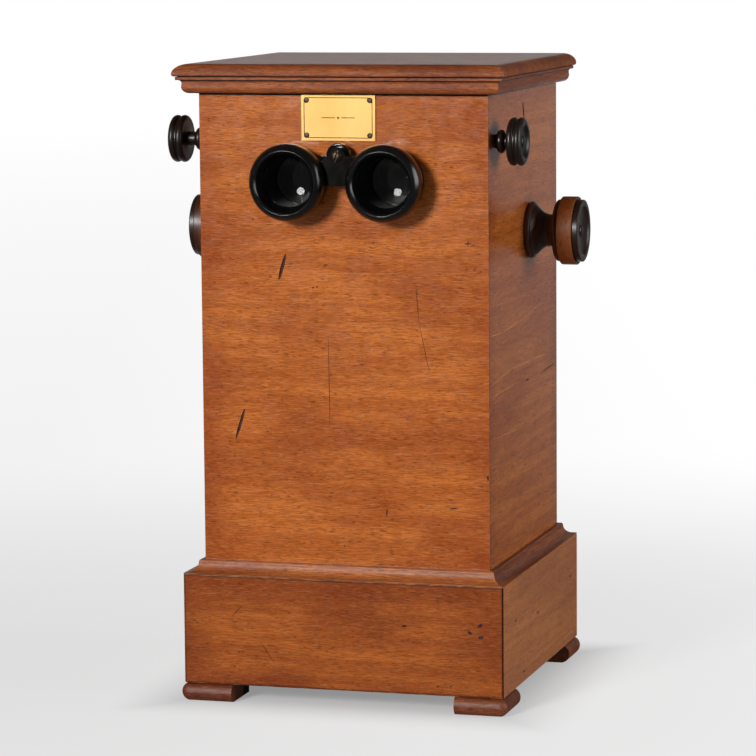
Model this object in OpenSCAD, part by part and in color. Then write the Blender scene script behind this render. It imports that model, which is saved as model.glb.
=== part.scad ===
// Table stereoscope: a wooden cabinet in which an endless chain carries glass stereo slides past a
// pair of eyepieces. The upper knobs move the eyepieces by a rack and pinion, the lower knobs turn
// the chain, and the lid and the back door open on hinges.
// Millimetres. X runs to the right seen from the front, Y to the back and Z up. The origin lies on
// the table under the middle of the cabinet.

/* [Cabinet] */
// Width of the cabinet, side to side
body_w = 192; // [176:1:240]
// Depth of the cabinet, front to back
body_d = 188; // [180:1:240]
// Height of the bare front between base moulding and cornice
front_h = 304.2; // [270:0.2:360]
// Thickness of the cabinet's boards
wall = 12; // [10:0.5:14]
// Thickness of the floor board
floor_t = 12; // [8:0.5:16]

/* [Plinth and feet] */
// Height of the feet
foot_h = 12; // [8:0.5:20]
// Width of a foot, side to side
foot_w = 35; // [28:0.5:45]
// Depth of a foot, front to back
foot_d = 38; // [28:0.5:45]
// How far a foot stands out past the plinth
foot_proud = 2.5; // [0.5:0.5:5]
// Height of the plinth boards
plinth_h = 72.3; // [50:0.1:100]
// Thickness of the plinth boards
plinth_t = 11.5; // [9:0.5:16]
// Height of the base moulding
base_moulding_h = 8.5; // [7:0.5:14]
// Height of the square edge at the foot of the base moulding
base_edge_h = 0.5; // [0.4:0.1:3]
// Width of the step above that edge
base_step = 0.6; // [0.4:0.1:4]
// How far the lip at the top of the base moulding stands out
base_lip = 3.5; // [2:0.5:6]
// Radius of that lip's rounded edge
base_lip_r = 1.6; // [0.8:0.1:2]

/* [Cornice and lid] */
// Height of the rounded part of the cornice, with the hollow above it
ovolo_h = 8.7; // [7:0.1:14]
// How far the rounded part stands out
ovolo_out = 9; // [6:0.5:11]
// Radius of its lower edge
ovolo_r = 4.5; // [2:0.5:6]
// Thickness of the flat strip above it
fillet_h = 2; // [1:0.1:4]
// How far the flat strip stands out
fillet_out = 12; // [10:0.5:14]
// Radius of the hollow under the flat strip
hollow_r = 2.2; // [1:0.1:2.5]
// How far the hollow lies behind the rounded part
hollow_in = 0.3; // [0:0.1:1]
// Thickness of the lid
lid_t = 8; // [6:0.1:14]
// How far the lid stands out at the front and the sides
lid_overhang = 14; // [12:0.5:20]
// Width of the curved edge on the lid's top
lid_edge_run = 9.5; // [8:0.5:30]
// Height of the rounding under the lid's edge
lid_tip_h = 1.5; // [0.6:0.1:3]
// Gap between the closed lid and the cabinet
lid_gap = 0.3; // [0.2:0.1:0.8]

/* [Back door] */
// Gap round the door
door_gap = 0.5; // [0.3:0.1:1.5]
// Height of the fixed rail above the door
back_rail_h = 14; // [11:0.5:24]
// How far the fixed rail below the door rises above the base moulding
back_sill_h = 0.7; // [0.5:0.1:5]
// Width of the door's upright stiles
stile_w = 22; // [16:0.5:30]
// Height of the door's bottom rail
bottom_rail_h = 30; // [18:0.5:50]
// Height of the door's middle rail
middle_rail_h = 22; // [14:0.5:30]
// Height of the window in the door
window_h = 60; // [40:1:72]
// Thickness of the door's wooden panel
door_panel_t = 5; // [3:0.5:7]
// Thickness of the ground glass
ground_glass_t = 3; // [2:0.5:5]
// Depth of the grooves that hold panel and glass
groove_d = 5; // [3:0.5:8]
// Radius of the door's knob
door_knob_r = 8; // [5:0.5:12]
// How far the door's knob stands out
door_knob_out = 22; // [14:0.5:28]

/* [Hinges] */
// Length of a hinge
hinge_len = 30; // [20:1:45]
// Radius of a hinge's knuckles
knuckle_r = 2.5; // [2:0.1:3.5]
// Radius of a hinge pin
hinge_pin_r = 1.2; // [0.8:0.1:1.6]
// Thickness of a hinge leaf
leaf_t = 1.2; // [0.8:0.1:1.6]
// Width of the leaves, measured from the pin
leaf_w = 10; // [7:0.5:11]
// Distance between the two lid hinges
lid_hinge_span = 100; // [60:1:130]
// Distance between the two door hinges
door_hinge_span = 210; // [120:1:240]

/* [Label plate] */
// Width of the plate
label_w = 49.5; // [30:0.5:70]
// Height of the plate
label_h = 29.8; // [16:0.2:29.8]
// Thickness of the plate
label_t = 1; // [0.6:0.1:2]
// How far the plate sits left of the middle
label_left = 2.3; // [0:0.1:6]
// Radius of the heads of its screws
label_screw_r = 1.6; // [1:0.1:2.2]
// Distance from the plate's edges to its screws
label_screw_inset = 4.2; // [3:0.1:6]

/* [Eyepieces] */
// Distance between the two optical axes
eye_gap = 64; // [60:0.5:70]
// Distance from the cornice down to the optical axes
eye_drop = 55.7; // [50:0.1:70]
// Outer radius of the sliding tubes
tube_r = 20; // [17:0.1:21]
// How far a tube reaches inside the front board's outer face
tube_in = 26; // [20:0.5:30]
// Thickness of the tubes
tube_t = 3.5; // [2:0.1:5]
// How far a tube's front end reaches into its eyecup
tube_seat = 3.5; // [2:0.1:6]
// Width of the lens seat in a tube
lens_seat = 1; // [0.6:0.1:1.5]
// Distance from the front end of a tube to the lens in it
lens_depth = 24; // [10:0.5:26]
// Thickness of the sleeves in the front board
sleeve_t = 1.95; // [1:0.05:3]
// How far a sleeve stands out inside the front board
sleeve_in = 8; // [3:0.5:12]
// Largest radius of an eyecup
cup_r = 24.8; // [23:0.1:27]
// Distance from the front board to an eyecup's back edge
cup_back = 8.5; // [8:0.1:12]
// Length of an eyecup
cup_len = 16; // [12:0.5:24]
// Length of an eyecup's rounded lip
cup_lip = 4; // [2:0.1:6]
// Wall left round the tube at an eyecup's back edge
cup_back_t = 1.8; // [1:0.1:2.5]
// Thickness of the rounded lip
cup_lip_t = 4.3; // [3:0.1:6]
// Radius of the clear opening in front of the lens
throat_r = 16; // [13:0.1:16]
// Thickness of a lens at its edge
lens_edge = 3; // [2:0.1:5]
// Rise of a lens's front face
lens_front_rise = 1.3; // [0.5:0.1:3]
// Rise of a lens's back face
lens_back_rise = 1.3; // [0.5:0.1:3]

/* [Focusing] */
// Radius of the focusing shaft
focus_shaft_r = 2.5; // [2:0.1:3.5]
// Gap between that shaft and the eyepiece sleeves under it
focus_clear = 0.75; // [0.5:0.05:2]
// Number of teeth on the pinion
pinion_teeth = 12; // [12:1:16]
// Tooth size of rack and pinion (module)
tooth_module = 0.8; // [0.6:0.05:1]
// Width of the pinion
pinion_w = 8; // [5:0.5:12]
// Width of the rack bar
rack_w = 6; // [4:0.5:8]
// Height of the rack bar below its teeth
rack_h = 5.4; // [4:0.1:8]
// Thickness of the bridge's back plate
bridge_plate_t = 1.9; // [1:0.1:2]
// How far the bridge's web stands out from the front board
bridge_out = 13; // [10:0.1:16]
// Distance from the front board to the bridge
bridge_back = 6.5; // [6.3:0.1:8]
// Radius of the round boss behind the bridge's screw
bridge_boss_r = 8; // [6:0.1:8.3]
// Radius of the bridge screw's head
bridge_screw_r = 3.7; // [2.5:0.1:5]
// Radius of the focusing knobs
focus_knob_r = 15.3; // [10:0.1:20]
// How far the focusing knobs stand out
focus_knob_out = 20; // [16:0.5:28]
// Width of the rim of the focusing knobs
focus_rim_w = 9.6; // [5:0.1:10]
// How much further out the left focusing knob stands
focus_left_more = 2.8; // [0:0.1:4]
// Outer radius of the focusing shaft's bushes
focus_bush_r = 4.2; // [3.6:0.1:6]

/* [Slide chain] */
// Width of a glass slide
slide_w = 107; // [90:1:130]
// Height of a glass slide
slide_h = 45; // [40:1:50]
// Thickness of a glass slide
slide_t = 1.6; // [1:0.1:3]
// Distance from one slide carrier to the next
link_pitch = 23.5; // [20:0.5:28]
// Gap between neighbouring carriers
link_gap = 0.8; // [0.5:0.1:2]
// Thickness of a carrier's strip
link_t = 1.5; // [1:0.1:2]
// Depth of the channel that grips a slide
grip_h = 4; // [3:0.5:7]
// Thickness of the channel's sides
grip_t = 1; // [0.8:0.1:1.5]
// Room left round the moving slides
slide_clear = 4.5; // [3:0.5:8]
// Length of the drum and of the guide roller
drum_len = 96; // [70:1:110]
// Radius of the drive shaft
drive_shaft_r = 4; // [3:0.1:6]
// Outer radius of the drive shaft's bushes
drive_bush_r = 7; // [6.5:0.1:10]
// Radius of the guide roller's pivots
pivot_r = 3; // [2:0.1:5]
// How far the pivots enter the side boards
pivot_in = 6; // [3:0.5:8]
// Thickness of the septum between the two light paths
septum_t = 3; // [2:0.5:5]
// Depth of the groove that holds the septum
septum_groove_d = 3; // [2:0.5:6]

/* [Drive knobs] */
// Radius of the drive knobs' wheels
wheel_r = 22.5; // [18:0.1:30]
// Width of the wheels
wheel_w = 17.8; // [14:0.1:20]
// Width of the bead and of the step on either side of a wheel's rim
band_w = 3.8; // [2:0.1:4.5]
// How far the bead and the step lie below the rim
band_drop = 2; // [1:0.1:3]
// Radius of the flange at the cabinet's side
flange_r = 18.7; // [14:0.1:24]
// Width of the flange's edge
flange_w = 3.6; // [3:0.1:8]
// Radius of the neck between flange and wheel
neck_r = 10.6; // [8:0.1:14]
// How far the drive knobs stand out
drive_knob_out = 36.8; // [33:0.1:45]
// How much further out the left drive knob stands
drive_left_more = 2.5; // [0:0.1:4]

/* [Hidden] */
$fn = 64;

// Colours of the materials
mahogany = "#a4602f";
dark_mahogany = "#7d4526";
ebonised = "#2a1d18";
ebonite = "#151515";
brass = "#c9a24d";
steel = "#8c8f92";
black_tin = "#30302e";
clear_glass = [0.8, 0.88, 0.9, 0.4];

// Fits: seated pieces, running shafts, and cutters that pass right through
seat_gap = 0.05;
run_gap = 0.05;
panel_gap = 0.1;
side_gap = 0.3;
through = 1;
arc_steps = 12;

// Levels of the cabinet
plinth_z = foot_h;
base_z = plinth_z + plinth_h;
front_z = base_z + base_moulding_h;
cornice_z = front_z + front_h;
rim_z = cornice_z + ovolo_h + fillet_h;
lid_z = rim_z + lid_gap;
floor_top = plinth_z + floor_t;
front_y = -body_d / 2;
back_y = body_d / 2;
front_inner = front_y + wall;
back_inner = back_y - wall;
inner_w = body_w - 2 * wall;

// Door
door_w = inner_w - 2 * door_gap;
door_z0 = front_z + back_sill_h + door_gap;
door_z1 = rim_z - back_rail_h - door_gap;
door_y = (back_inner + back_y) / 2;
pane_w = door_w - 2 * stile_w;
eye_z = cornice_z - eye_drop;
window_z0 = eye_z - window_h / 2;
window_z1 = eye_z + window_h / 2;
panel_z0 = door_z0 + bottom_rail_h;
panel_z1 = window_z0 - middle_rail_h;

// Hinges: the pin lies behind the back face, with the knuckle clear of it
hinge_set = knuckle_r + side_gap;
leaf_start = knuckle_r + 0.4;
knuckle_gap = 0.2;
lid_hinge_z = rim_z + lid_gap / 2;
door_hinge_x = -inner_w / 2;
door_hinge_z = (door_z0 + door_z1) / 2;

// Label plate
label_top = cornice_z - 0.4;
label_screw_head_t = 0.6;
label_screw_shank_r = label_screw_r / 2;
label_screw_len = 6;

// Eyepieces
sleeve_r = tube_r + run_gap + sleeve_t;
tube_out = cup_back + tube_seat;
tube_bore = tube_r - tube_t;
lens_r = tube_bore + lens_seat;
lens_h = tube_out - lens_depth;
cup_front = cup_back + cup_len;

// Focusing: the shaft runs over the sleeves, the rack under the pinion
focus_y = front_inner + focus_bush_r + side_gap;
focus_z = eye_z + sleeve_r + focus_clear + focus_shaft_r;
pressure_angle = 25;
backlash = 0.12;
pinion_pitch_r = pinion_teeth * tooth_module / 2;
pinion_tip_r = pinion_pitch_r + tooth_module;
pinion_root_r = pinion_pitch_r - 1.25 * tooth_module;
tooth_pitch = PI * tooth_module;
rack_pitch_z = focus_z - pinion_pitch_r;
rack_root_z = rack_pitch_z - 1.25 * tooth_module;
rack_bottom = rack_root_z - rack_h;
rack_mid_z = rack_root_z - rack_h / 2;
rack_travel_out = 10;
rack_travel_in = 6;
rack_teeth_front = ceil((rack_travel_in + pinion_tip_r) / tooth_pitch);
rack_teeth_back = ceil((rack_travel_out + pinion_tip_r) / tooth_pitch);
rack_back = focus_y + (rack_teeth_back + 1) * tooth_pitch;
bridge_screw_shank_r = 1.8;
bridge_screw_head_t = 2;
bridge_screw_slot = 0.9;
bridge_lobe_r = bridge_screw_r + 2;
bridge_drop = 2.3;

// Slide chain: carriers pass over a drum, hang down both sides and turn round a roller below
belt_r = link_pitch / 2 + 1.75;
drum_r = belt_r - link_t / 2 - side_gap;
slide_root_r = belt_r + link_t / 2 + 2.25;
slide_tip_r = slide_root_r + slide_h;
grip_top_r = slide_root_r + grip_h;
drive_y = back_inner - slide_clear - slide_tip_r;
drive_z = eye_z - slide_root_r - slide_h / 2;
run_links = floor((drive_z - floor_top - slide_clear - slide_tip_r) / link_pitch);
roller_z = drive_z - run_links * link_pitch;
carrier_w = slide_w + 2;

// Knob shafts end inside the knobs
focus_shaft_end = focus_knob_out - 4;
drive_shaft_end = drive_knob_out - 8;

// Points of an elliptic arc round a centre
function arc(centre, rx, ry, from, to, steps = arc_steps) = [
    for (i = [0 : steps])
        let (a = from + (to - from) * i / steps)
            centre + [rx * cos(a), ry * sin(a)]
];

module on_front() { translate([0, front_y, 0]) children(); }
module on_back() { translate([0, back_y, 0]) rotate([0, 0, 180]) children(); }
module on_right() { translate([body_w / 2, 0, 0]) rotate([0, 0, 90]) children(); }
module on_left() { translate([-body_w / 2, 0, 0]) rotate([0, 0, -90]) children(); }

// A shape whose own Z axis points out of the front board, or out of the right side
module facing_front(x, z) { translate([x, front_y, z]) rotate([90, 0, 0]) children(); }
module facing_right(y, z) { translate([body_w / 2, y, z]) rotate([0, 90, 0]) children(); }

// A round bar along X, centred on the cabinet
module cross_bar(y, z, r, length) {
    translate([-length / 2, y, z])
        rotate([0, 90, 0])
            cylinder(r = r, h = length);
}

// A board or moulding along X that lies against y = 0 and faces -Y. The profile is a list of
// [distance out, height] points, and each end is mitred or cut square.
module edge_run(profile, half_len, mitre_start = true, mitre_end = true) {
    reach = max([for (p = profile) p[0]]) + through;
    low = min([for (p = profile) p[1]]) - through;
    high = max([for (p = profile) p[1]]) + through;
    start_flare = mitre_start ? 1 : 0;
    end_flare = mitre_end ? 1 : 0;
    intersection() {
        translate([-half_len - reach, 0, 0])
            rotate([90, 0, 90])
                linear_extrude(2 * (half_len + reach))
                    polygon([for (p = profile) [-p[0], p[1]]]);
        translate([0, 0, low])
            linear_extrude(high - low)
                polygon([
                    [-half_len + start_flare * through, through],
                    [half_len - end_flare * through, through],
                    [half_len + end_flare * reach, -reach],
                    [-half_len - start_flare * reach, -reach]
                ]);
    }
}

// Cabinet boards
module front_panel() {
    color(mahogany)
    difference() {
        translate([0, 0, plinth_z])
            linear_extrude(rim_z - plinth_z)
                polygon([
                    [-body_w / 2, front_y], [body_w / 2, front_y],
                    [inner_w / 2, front_inner], [-inner_w / 2, front_inner]
                ]);
        for (side = [-1, 1])
            facing_front(side * eye_gap / 2, eye_z)
                translate([0, 0, -wall - through])
                    cylinder(r = sleeve_r + seat_gap, h = wall + 2 * through);
        rack_slot();
        cross_bar(focus_y, focus_z, pinion_tip_r + side_gap, pinion_w + 2 * side_gap);
        translate([-septum_t / 2 - seat_gap, front_inner - septum_groove_d, septum_low() - seat_gap])
            cube([septum_t + 2 * seat_gap, septum_groove_d + through, rack_bottom - septum_low()]);
        label_screw_holes();
    }
}

// The way of the rack bar through the front board
module rack_slot() {
    slot_z = rack_bottom - side_gap;
    translate([-rack_w / 2 - side_gap, front_y - through, slot_z])
        cube([
            rack_w + 2 * side_gap,
            wall + 2 * through,
            rack_pitch_z + tooth_module + side_gap - slot_z
        ]);
}

module side_panel() {
    difference() {
        translate([0, 0, plinth_z])
            linear_extrude(rim_z - plinth_z)
                polygon([
                    [body_w / 2, front_y], [body_w / 2, back_y],
                    [inner_w / 2, back_y], [inner_w / 2, front_inner]
                ]);
        facing_right(focus_y, focus_z)
            translate([0, 0, -wall - through])
                cylinder(r = focus_bush_r + seat_gap, h = wall + 2 * through);
        facing_right(drive_y, drive_z)
            translate([0, 0, -wall - through])
                cylinder(r = drive_bush_r + seat_gap, h = wall + 2 * through);
        facing_right(drive_y, roller_z)
            translate([0, 0, -wall - through])
                cylinder(r = pivot_r + run_gap, h = through + pivot_in + side_gap);
    }
}

module left_side_panel() { color(mahogany) mirror([1, 0, 0]) side_panel(); }
module right_side_panel() { color(mahogany) side_panel(); }

module back_top_rail() {
    color(mahogany)
    translate([-inner_w / 2, back_inner, rim_z - back_rail_h])
        cube([inner_w, wall, back_rail_h]);
}

module back_bottom_rail() {
    color(mahogany)
    translate([-inner_w / 2, back_inner, plinth_z])
        cube([inner_w, wall, front_z + back_sill_h - plinth_z]);
}

module floor_board() {
    color(mahogany)
    translate([-inner_w / 2, front_inner, plinth_z])
        cube([inner_w, back_inner - front_inner, floor_t]);
}

// Plinth, base moulding and cornice
function plinth_profile() = [[0, plinth_z], [plinth_t, plinth_z], [plinth_t, base_z], [0, base_z]];

function base_moulding_profile() =
    let (
        cove_x = plinth_t - base_step,
        cove_z = front_z - base_lip_r,
        edge_z = base_z + base_edge_h
    )
    concat(
        [[0, base_z], [plinth_t, base_z], [plinth_t, edge_z]],
        arc([cove_x, cove_z], cove_x - base_lip, cove_z - edge_z, 270, 180),
        arc([base_lip - base_lip_r, cove_z], base_lip_r, base_lip_r, 0, 90, arc_steps / 2),
        [[0, front_z]]
    );

function cornice_profile() =
    let (
        fillet_z = cornice_z + ovolo_h,
        hollow_x = ovolo_out - hollow_in + hollow_r
    )
    concat(
        [[0, cornice_z]],
        arc([ovolo_out - ovolo_r, cornice_z + ovolo_r], ovolo_r, ovolo_r, 270, 360),
        arc([hollow_x, fillet_z - hollow_r], hollow_r, hollow_r, 180, 90, arc_steps / 2),
        [[fillet_out, fillet_z], [fillet_out, rim_z], [0, rim_z]]
    );

module plinth_front() { color(mahogany) on_front() edge_run(plinth_profile(), body_w / 2); }
module plinth_back() { color(mahogany) on_back() edge_run(plinth_profile(), body_w / 2); }
module plinth_left() { color(mahogany) on_left() edge_run(plinth_profile(), body_d / 2); }
module plinth_right() { color(mahogany) on_right() edge_run(plinth_profile(), body_d / 2); }

module base_moulding_front() { color(mahogany) on_front() edge_run(base_moulding_profile(), body_w / 2); }
module base_moulding_back() { color(mahogany) on_back() edge_run(base_moulding_profile(), body_w / 2); }
module base_moulding_left() { color(mahogany) on_left() edge_run(base_moulding_profile(), body_d / 2); }
module base_moulding_right() { color(mahogany) on_right() edge_run(base_moulding_profile(), body_d / 2); }

module cornice_front() { color(dark_mahogany) on_front() edge_run(cornice_profile(), body_w / 2); }
module cornice_left() {
    color(dark_mahogany)
    on_left()
        edge_run(cornice_profile(), body_d / 2, mitre_start = false);
}
module cornice_right() {
    color(dark_mahogany)
    on_right()
        edge_run(cornice_profile(), body_d / 2, mitre_end = false);
}

// Feet: blocks with a half-round on the two outer sides
function foot_outline(length) =
    concat([[0, 0]], arc([length - foot_h / 2, foot_h / 2], foot_h / 2, foot_h / 2, -90, 90), [[0, foot_h]]);

module foot() {
    intersection() {
        translate([0, foot_d + through, 0])
            rotate([90, 0, 0])
                linear_extrude(foot_d + 2 * through)
                    polygon(foot_outline(foot_w));
        translate([-through, 0, 0])
            rotate([90, 0, 90])
                linear_extrude(foot_w + 2 * through)
                    polygon(foot_outline(foot_d));
    }
}

module feet() {
    foot_x = body_w / 2 + plinth_t + foot_proud - foot_w;
    foot_y = body_d / 2 + plinth_t + foot_proud - foot_d;
    color(dark_mahogany)
    for (mx = [0, 1], my = [0, 1])
        mirror([mx, 0, 0])
            mirror([0, my, 0])
                translate([foot_x, foot_y, 0])
                    foot();
}

// Lid
function lid_edge() =
    concat(
        arc([lid_tip_h, lid_tip_h], lid_tip_h, lid_tip_h, 270, 180, arc_steps / 2),
        arc([lid_edge_run, lid_tip_h], lid_edge_run, lid_t - lid_tip_h, 180, 90)
    );

module lid_slab() {
    half_w = body_w / 2 + lid_overhang;
    lid_front = front_y - lid_overhang;
    edge = lid_edge();
    last = len(edge) - 1;
    color(dark_mahogany)
    translate([0, 0, lid_z])
        intersection() {
            translate([0, back_y + through, 0])
                rotate([90, 0, 0])
                    linear_extrude(back_y - lid_front + 2 * through)
                        polygon(concat(
                            [for (p = edge) [half_w - p[0], p[1]]],
                            [for (i = [last : -1 : 0]) [edge[i][0] - half_w, edge[i][1]]]
                        ));
            translate([-half_w - through, 0, 0])
                rotate([90, 0, 90])
                    linear_extrude(2 * (half_w + through))
                        polygon(concat(
                            [for (p = edge) [lid_front + p[0], p[1]]],
                            [[back_y, lid_t], [back_y, 0]]
                        ));
        }
}

// Hinges: the pin lies along X at the origin and the wall's face at y = -hinge_set. The case leaf
// hangs down and has the outer knuckles; the moving leaf stands up and has the middle one.
module knuckle(from, to, width) {
    difference() {
        union() {
            translate([from, 0, 0])
                rotate([0, 90, 0])
                    cylinder(r = knuckle_r, h = to - from);
            translate([from, -hinge_set, -width])
                cube([to - from, leaf_t, width]);
        }
        translate([from - through, 0, 0])
            rotate([0, 90, 0])
                cylinder(r = hinge_pin_r + run_gap, h = to - from + 2 * through);
    }
}

module case_leaf(width) {
    third = hinge_len / 6;
    translate([-hinge_len / 2, -hinge_set, -width])
        cube([hinge_len, leaf_t, width - leaf_start]);
    knuckle(-hinge_len / 2, -third - knuckle_gap / 2, width);
    knuckle(third + knuckle_gap / 2, hinge_len / 2, width);
}

module moving_leaf(width) {
    third = hinge_len / 6;
    mirror([0, 0, 1]) {
        translate([-hinge_len / 2, -hinge_set, -width])
            cube([hinge_len, leaf_t, width - leaf_start]);
        knuckle(-third + knuckle_gap / 2, third - knuckle_gap / 2, width);
    }
}

module at_lid_hinges() {
    for (side = [-1, 1])
        translate([side * lid_hinge_span / 2, back_y + hinge_set, lid_hinge_z])
            children();
}

module at_door_hinges() {
    for (side = [-1, 1])
        translate([door_hinge_x, back_y + hinge_set, door_hinge_z + side * door_hinge_span / 2])
            rotate([0, 90, 0])
                children();
}

module lid_hinge_case_leaves() { color(brass) at_lid_hinges() case_leaf(leaf_w); }
module lid_hinge_lid_leaves() { color(brass) at_lid_hinges() moving_leaf(lid_gap / 2 + lid_t - 0.2); }
module door_hinge_case_leaves() { color(brass) at_door_hinges() case_leaf(leaf_w); }
module door_hinge_door_leaves() { color(brass) at_door_hinges() moving_leaf(leaf_w); }

module hinge_pin() {
    translate([-hinge_len / 2, 0, 0])
        rotate([0, 90, 0])
            cylinder(r = hinge_pin_r, h = hinge_len);
}

module hinge_pins() {
    color(steel) {
        at_lid_hinges() hinge_pin();
        at_door_hinges() hinge_pin();
    }
}

// Back door: a grooved frame round a wooden panel and a ground-glass window
module door_fill(t, z0, z1, gap) {
    half_w = pane_w / 2 + groove_d + gap;
    translate([-half_w, door_y - t / 2 - gap, z0 - groove_d - gap])
        cube([2 * half_w, t + 2 * gap, z1 - z0 + 2 * (groove_d + gap)]);
}

module door_grooves() {
    door_fill(door_panel_t, panel_z0, panel_z1, panel_gap);
    door_fill(ground_glass_t, window_z0, window_z1, panel_gap);
}

module door_stiles() {
    color(mahogany)
    difference() {
        for (side = [-1, 1])
            translate([side * (door_w - stile_w) / 2 - stile_w / 2, back_inner, door_z0])
                cube([stile_w, wall, door_z1 - door_z0]);
        door_grooves();
    }
}

module door_rails() {
    color(mahogany)
    difference() {
        for (span = [[door_z0, panel_z0], [panel_z1, window_z0], [window_z1, door_z1]])
            translate([-pane_w / 2, back_inner, span[0]])
                cube([pane_w, wall, span[1] - span[0]]);
        door_grooves();
    }
}

module door_panel() { color(mahogany) door_fill(door_panel_t, panel_z0, panel_z1, 0); }
module ground_glass() { color(clear_glass) door_fill(ground_glass_t, window_z0, window_z1, 0); }

module door_knob() {
    stem_r = door_knob_r * 0.45;
    color(brass)
    translate([(door_w - stile_w) / 2, back_y, door_hinge_z])
        rotate([-90, 0, 0])
            rotate_extrude()
                polygon(concat(
                    [[0, 0], [door_knob_r * 0.8, 0], [door_knob_r * 0.8, 2], [stem_r, 3.5]],
                    [[stem_r, door_knob_out - door_knob_r * 1.3]],
                    arc([0, door_knob_out - door_knob_r * 0.7], door_knob_r, door_knob_r * 0.7, -45, 90)
                ));
}

// Label plate and its screws
module at_label_screws() {
    for (side = [-1, 1], level = [label_screw_inset, label_h - label_screw_inset])
        facing_front(side * (label_w / 2 - label_screw_inset) - label_left, label_top - level)
            children();
}

module label_screw_holes() {
    at_label_screws()
        translate([0, 0, -label_screw_len])
            cylinder(r = label_screw_shank_r + seat_gap, h = label_screw_len + label_t + through);
}

module label_plate() {
    color(brass)
    difference() {
        translate([-label_w / 2 - label_left, front_y - label_t, label_top - label_h])
            cube([label_w, label_t, label_h]);
        label_screw_holes();
    }
}

module label_screws() {
    color(steel)
    at_label_screws() {
        translate([0, 0, label_t - label_screw_len])
            cylinder(r = label_screw_shank_r, h = label_screw_len);
        translate([0, 0, label_t])
            cylinder(r = label_screw_r, h = label_screw_head_t);
    }
}

// Eyepieces
module at_eyes() {
    for (side = [-1, 1])
        facing_front(side * eye_gap / 2, eye_z)
            children();
}

module eyepiece_sleeves() {
    color(brass)
    at_eyes()
        translate([0, 0, -wall - sleeve_in])
            difference() {
                cylinder(r = sleeve_r, h = wall + sleeve_in);
                translate([0, 0, -through])
                    cylinder(r = tube_r + run_gap, h = wall + sleeve_in + 2 * through);
            }
}

module eyepiece_tubes() {
    color(ebonite)
    at_eyes()
        difference() {
            translate([0, 0, -tube_in])
                cylinder(r = tube_r, h = tube_in + tube_out);
            translate([0, 0, -tube_in - through])
                cylinder(r = tube_bore, h = tube_in + tube_out + 2 * through);
            translate([0, 0, lens_h - lens_edge])
                cylinder(r = lens_r + seat_gap, h = lens_edge + lens_depth + through);
        }
}

module eyecup() {
    back_r = tube_r + cup_back_t;
    lip_mid = cup_r - cup_lip_t / 2;
    lip_in = cup_r - cup_lip_t;
    color(ebonite)
    rotate_extrude()
        polygon(concat(
            [[tube_r + seat_gap, cup_back]],
            arc([back_r, cup_front - cup_lip], cup_r - back_r, cup_len - cup_lip, -90, 0),
            arc([lip_mid, cup_front - cup_lip], cup_lip_t / 2, cup_lip, 0, 180),
            [[lip_in, cup_front - cup_lip], [throat_r, tube_out + 1.5], [throat_r, tube_out]],
            [[tube_r + seat_gap, tube_out]]
        ));
}

module eyecup_left() { facing_front(-eye_gap / 2, eye_z) eyecup(); }
module eyecup_right() { facing_front(eye_gap / 2, eye_z) eyecup(); }

// A lens: a flat rim seated in the tube, with a shallow dome on either side
function dome_r(half, rise) = (half * half + rise * rise) / (2 * rise);

module eye_lenses() {
    clear_r = min(throat_r, tube_bore) - 0.2;
    back_h = lens_h - lens_edge;
    front_r = dome_r(clear_r, lens_front_rise);
    back_r = dome_r(clear_r, lens_back_rise);
    front_half = asin(clear_r / front_r);
    back_half = asin(clear_r / back_r);
    color(clear_glass)
    at_eyes()
        rotate_extrude()
            polygon(concat(
                arc([0, back_h - lens_back_rise + back_r], back_r, back_r, -90, back_half - 90),
                [[lens_r, back_h], [lens_r, lens_h]],
                arc([0, lens_h + lens_front_rise - front_r], front_r, front_r, 90 - front_half, 90)
            ));
}

// A ring fills the tube from the lens to the eyecup and keeps the lens on its seat
module lens_rings() {
    color(ebonite)
    at_eyes()
        translate([0, 0, lens_h])
            difference() {
                cylinder(r = lens_r, h = lens_depth);
                translate([0, 0, -through])
                    cylinder(r = throat_r, h = lens_depth + 2 * through);
            }
}

// The bridge joins the tubes and hangs on the end of the rack bar
module bridge_plate_outline() {
    web_w = eye_gap - 2 * tube_r;
    difference() {
        union() {
            for (side = [-1, 1])
                translate([side * eye_gap / 2, eye_z])
                    circle(r = tube_r + cup_back_t + 1.5);
            translate([0, rack_mid_z])
                circle(r = bridge_boss_r);
            translate([-web_w / 2, eye_z - bridge_drop])
                square([web_w, rack_mid_z - eye_z + bridge_drop]);
        }
        for (side = [-1, 1])
            translate([side * eye_gap / 2, eye_z])
                circle(r = tube_r + seat_gap);
    }
}

module bridge_web_outline() {
    shoulder_w = eye_gap / 2 - tube_r + 2;
    difference() {
        union() {
            translate([0, rack_mid_z])
                circle(r = bridge_lobe_r);
            polygon([
                [-shoulder_w, eye_z - bridge_drop], [shoulder_w, eye_z - bridge_drop],
                [shoulder_w, rack_mid_z - bridge_lobe_r], [bridge_lobe_r, rack_mid_z],
                [-bridge_lobe_r, rack_mid_z], [-shoulder_w, rack_mid_z - bridge_lobe_r]
            ]);
        }
        for (side = [-1, 1])
            translate([side * eye_gap / 2, eye_z])
                circle(r = cup_r + side_gap);
    }
}

module eyepiece_bridge() {
    color(ebonite)
    difference() {
        facing_front(0, 0) {
            translate([0, 0, bridge_back])
                linear_extrude(bridge_plate_t)
                    bridge_plate_outline();
            translate([0, 0, bridge_back])
                linear_extrude(bridge_out - bridge_back)
                    bridge_web_outline();
        }
        facing_front(0, rack_mid_z)
            cylinder(r = bridge_screw_shank_r + seat_gap, h = bridge_out + through);
    }
}

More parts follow.
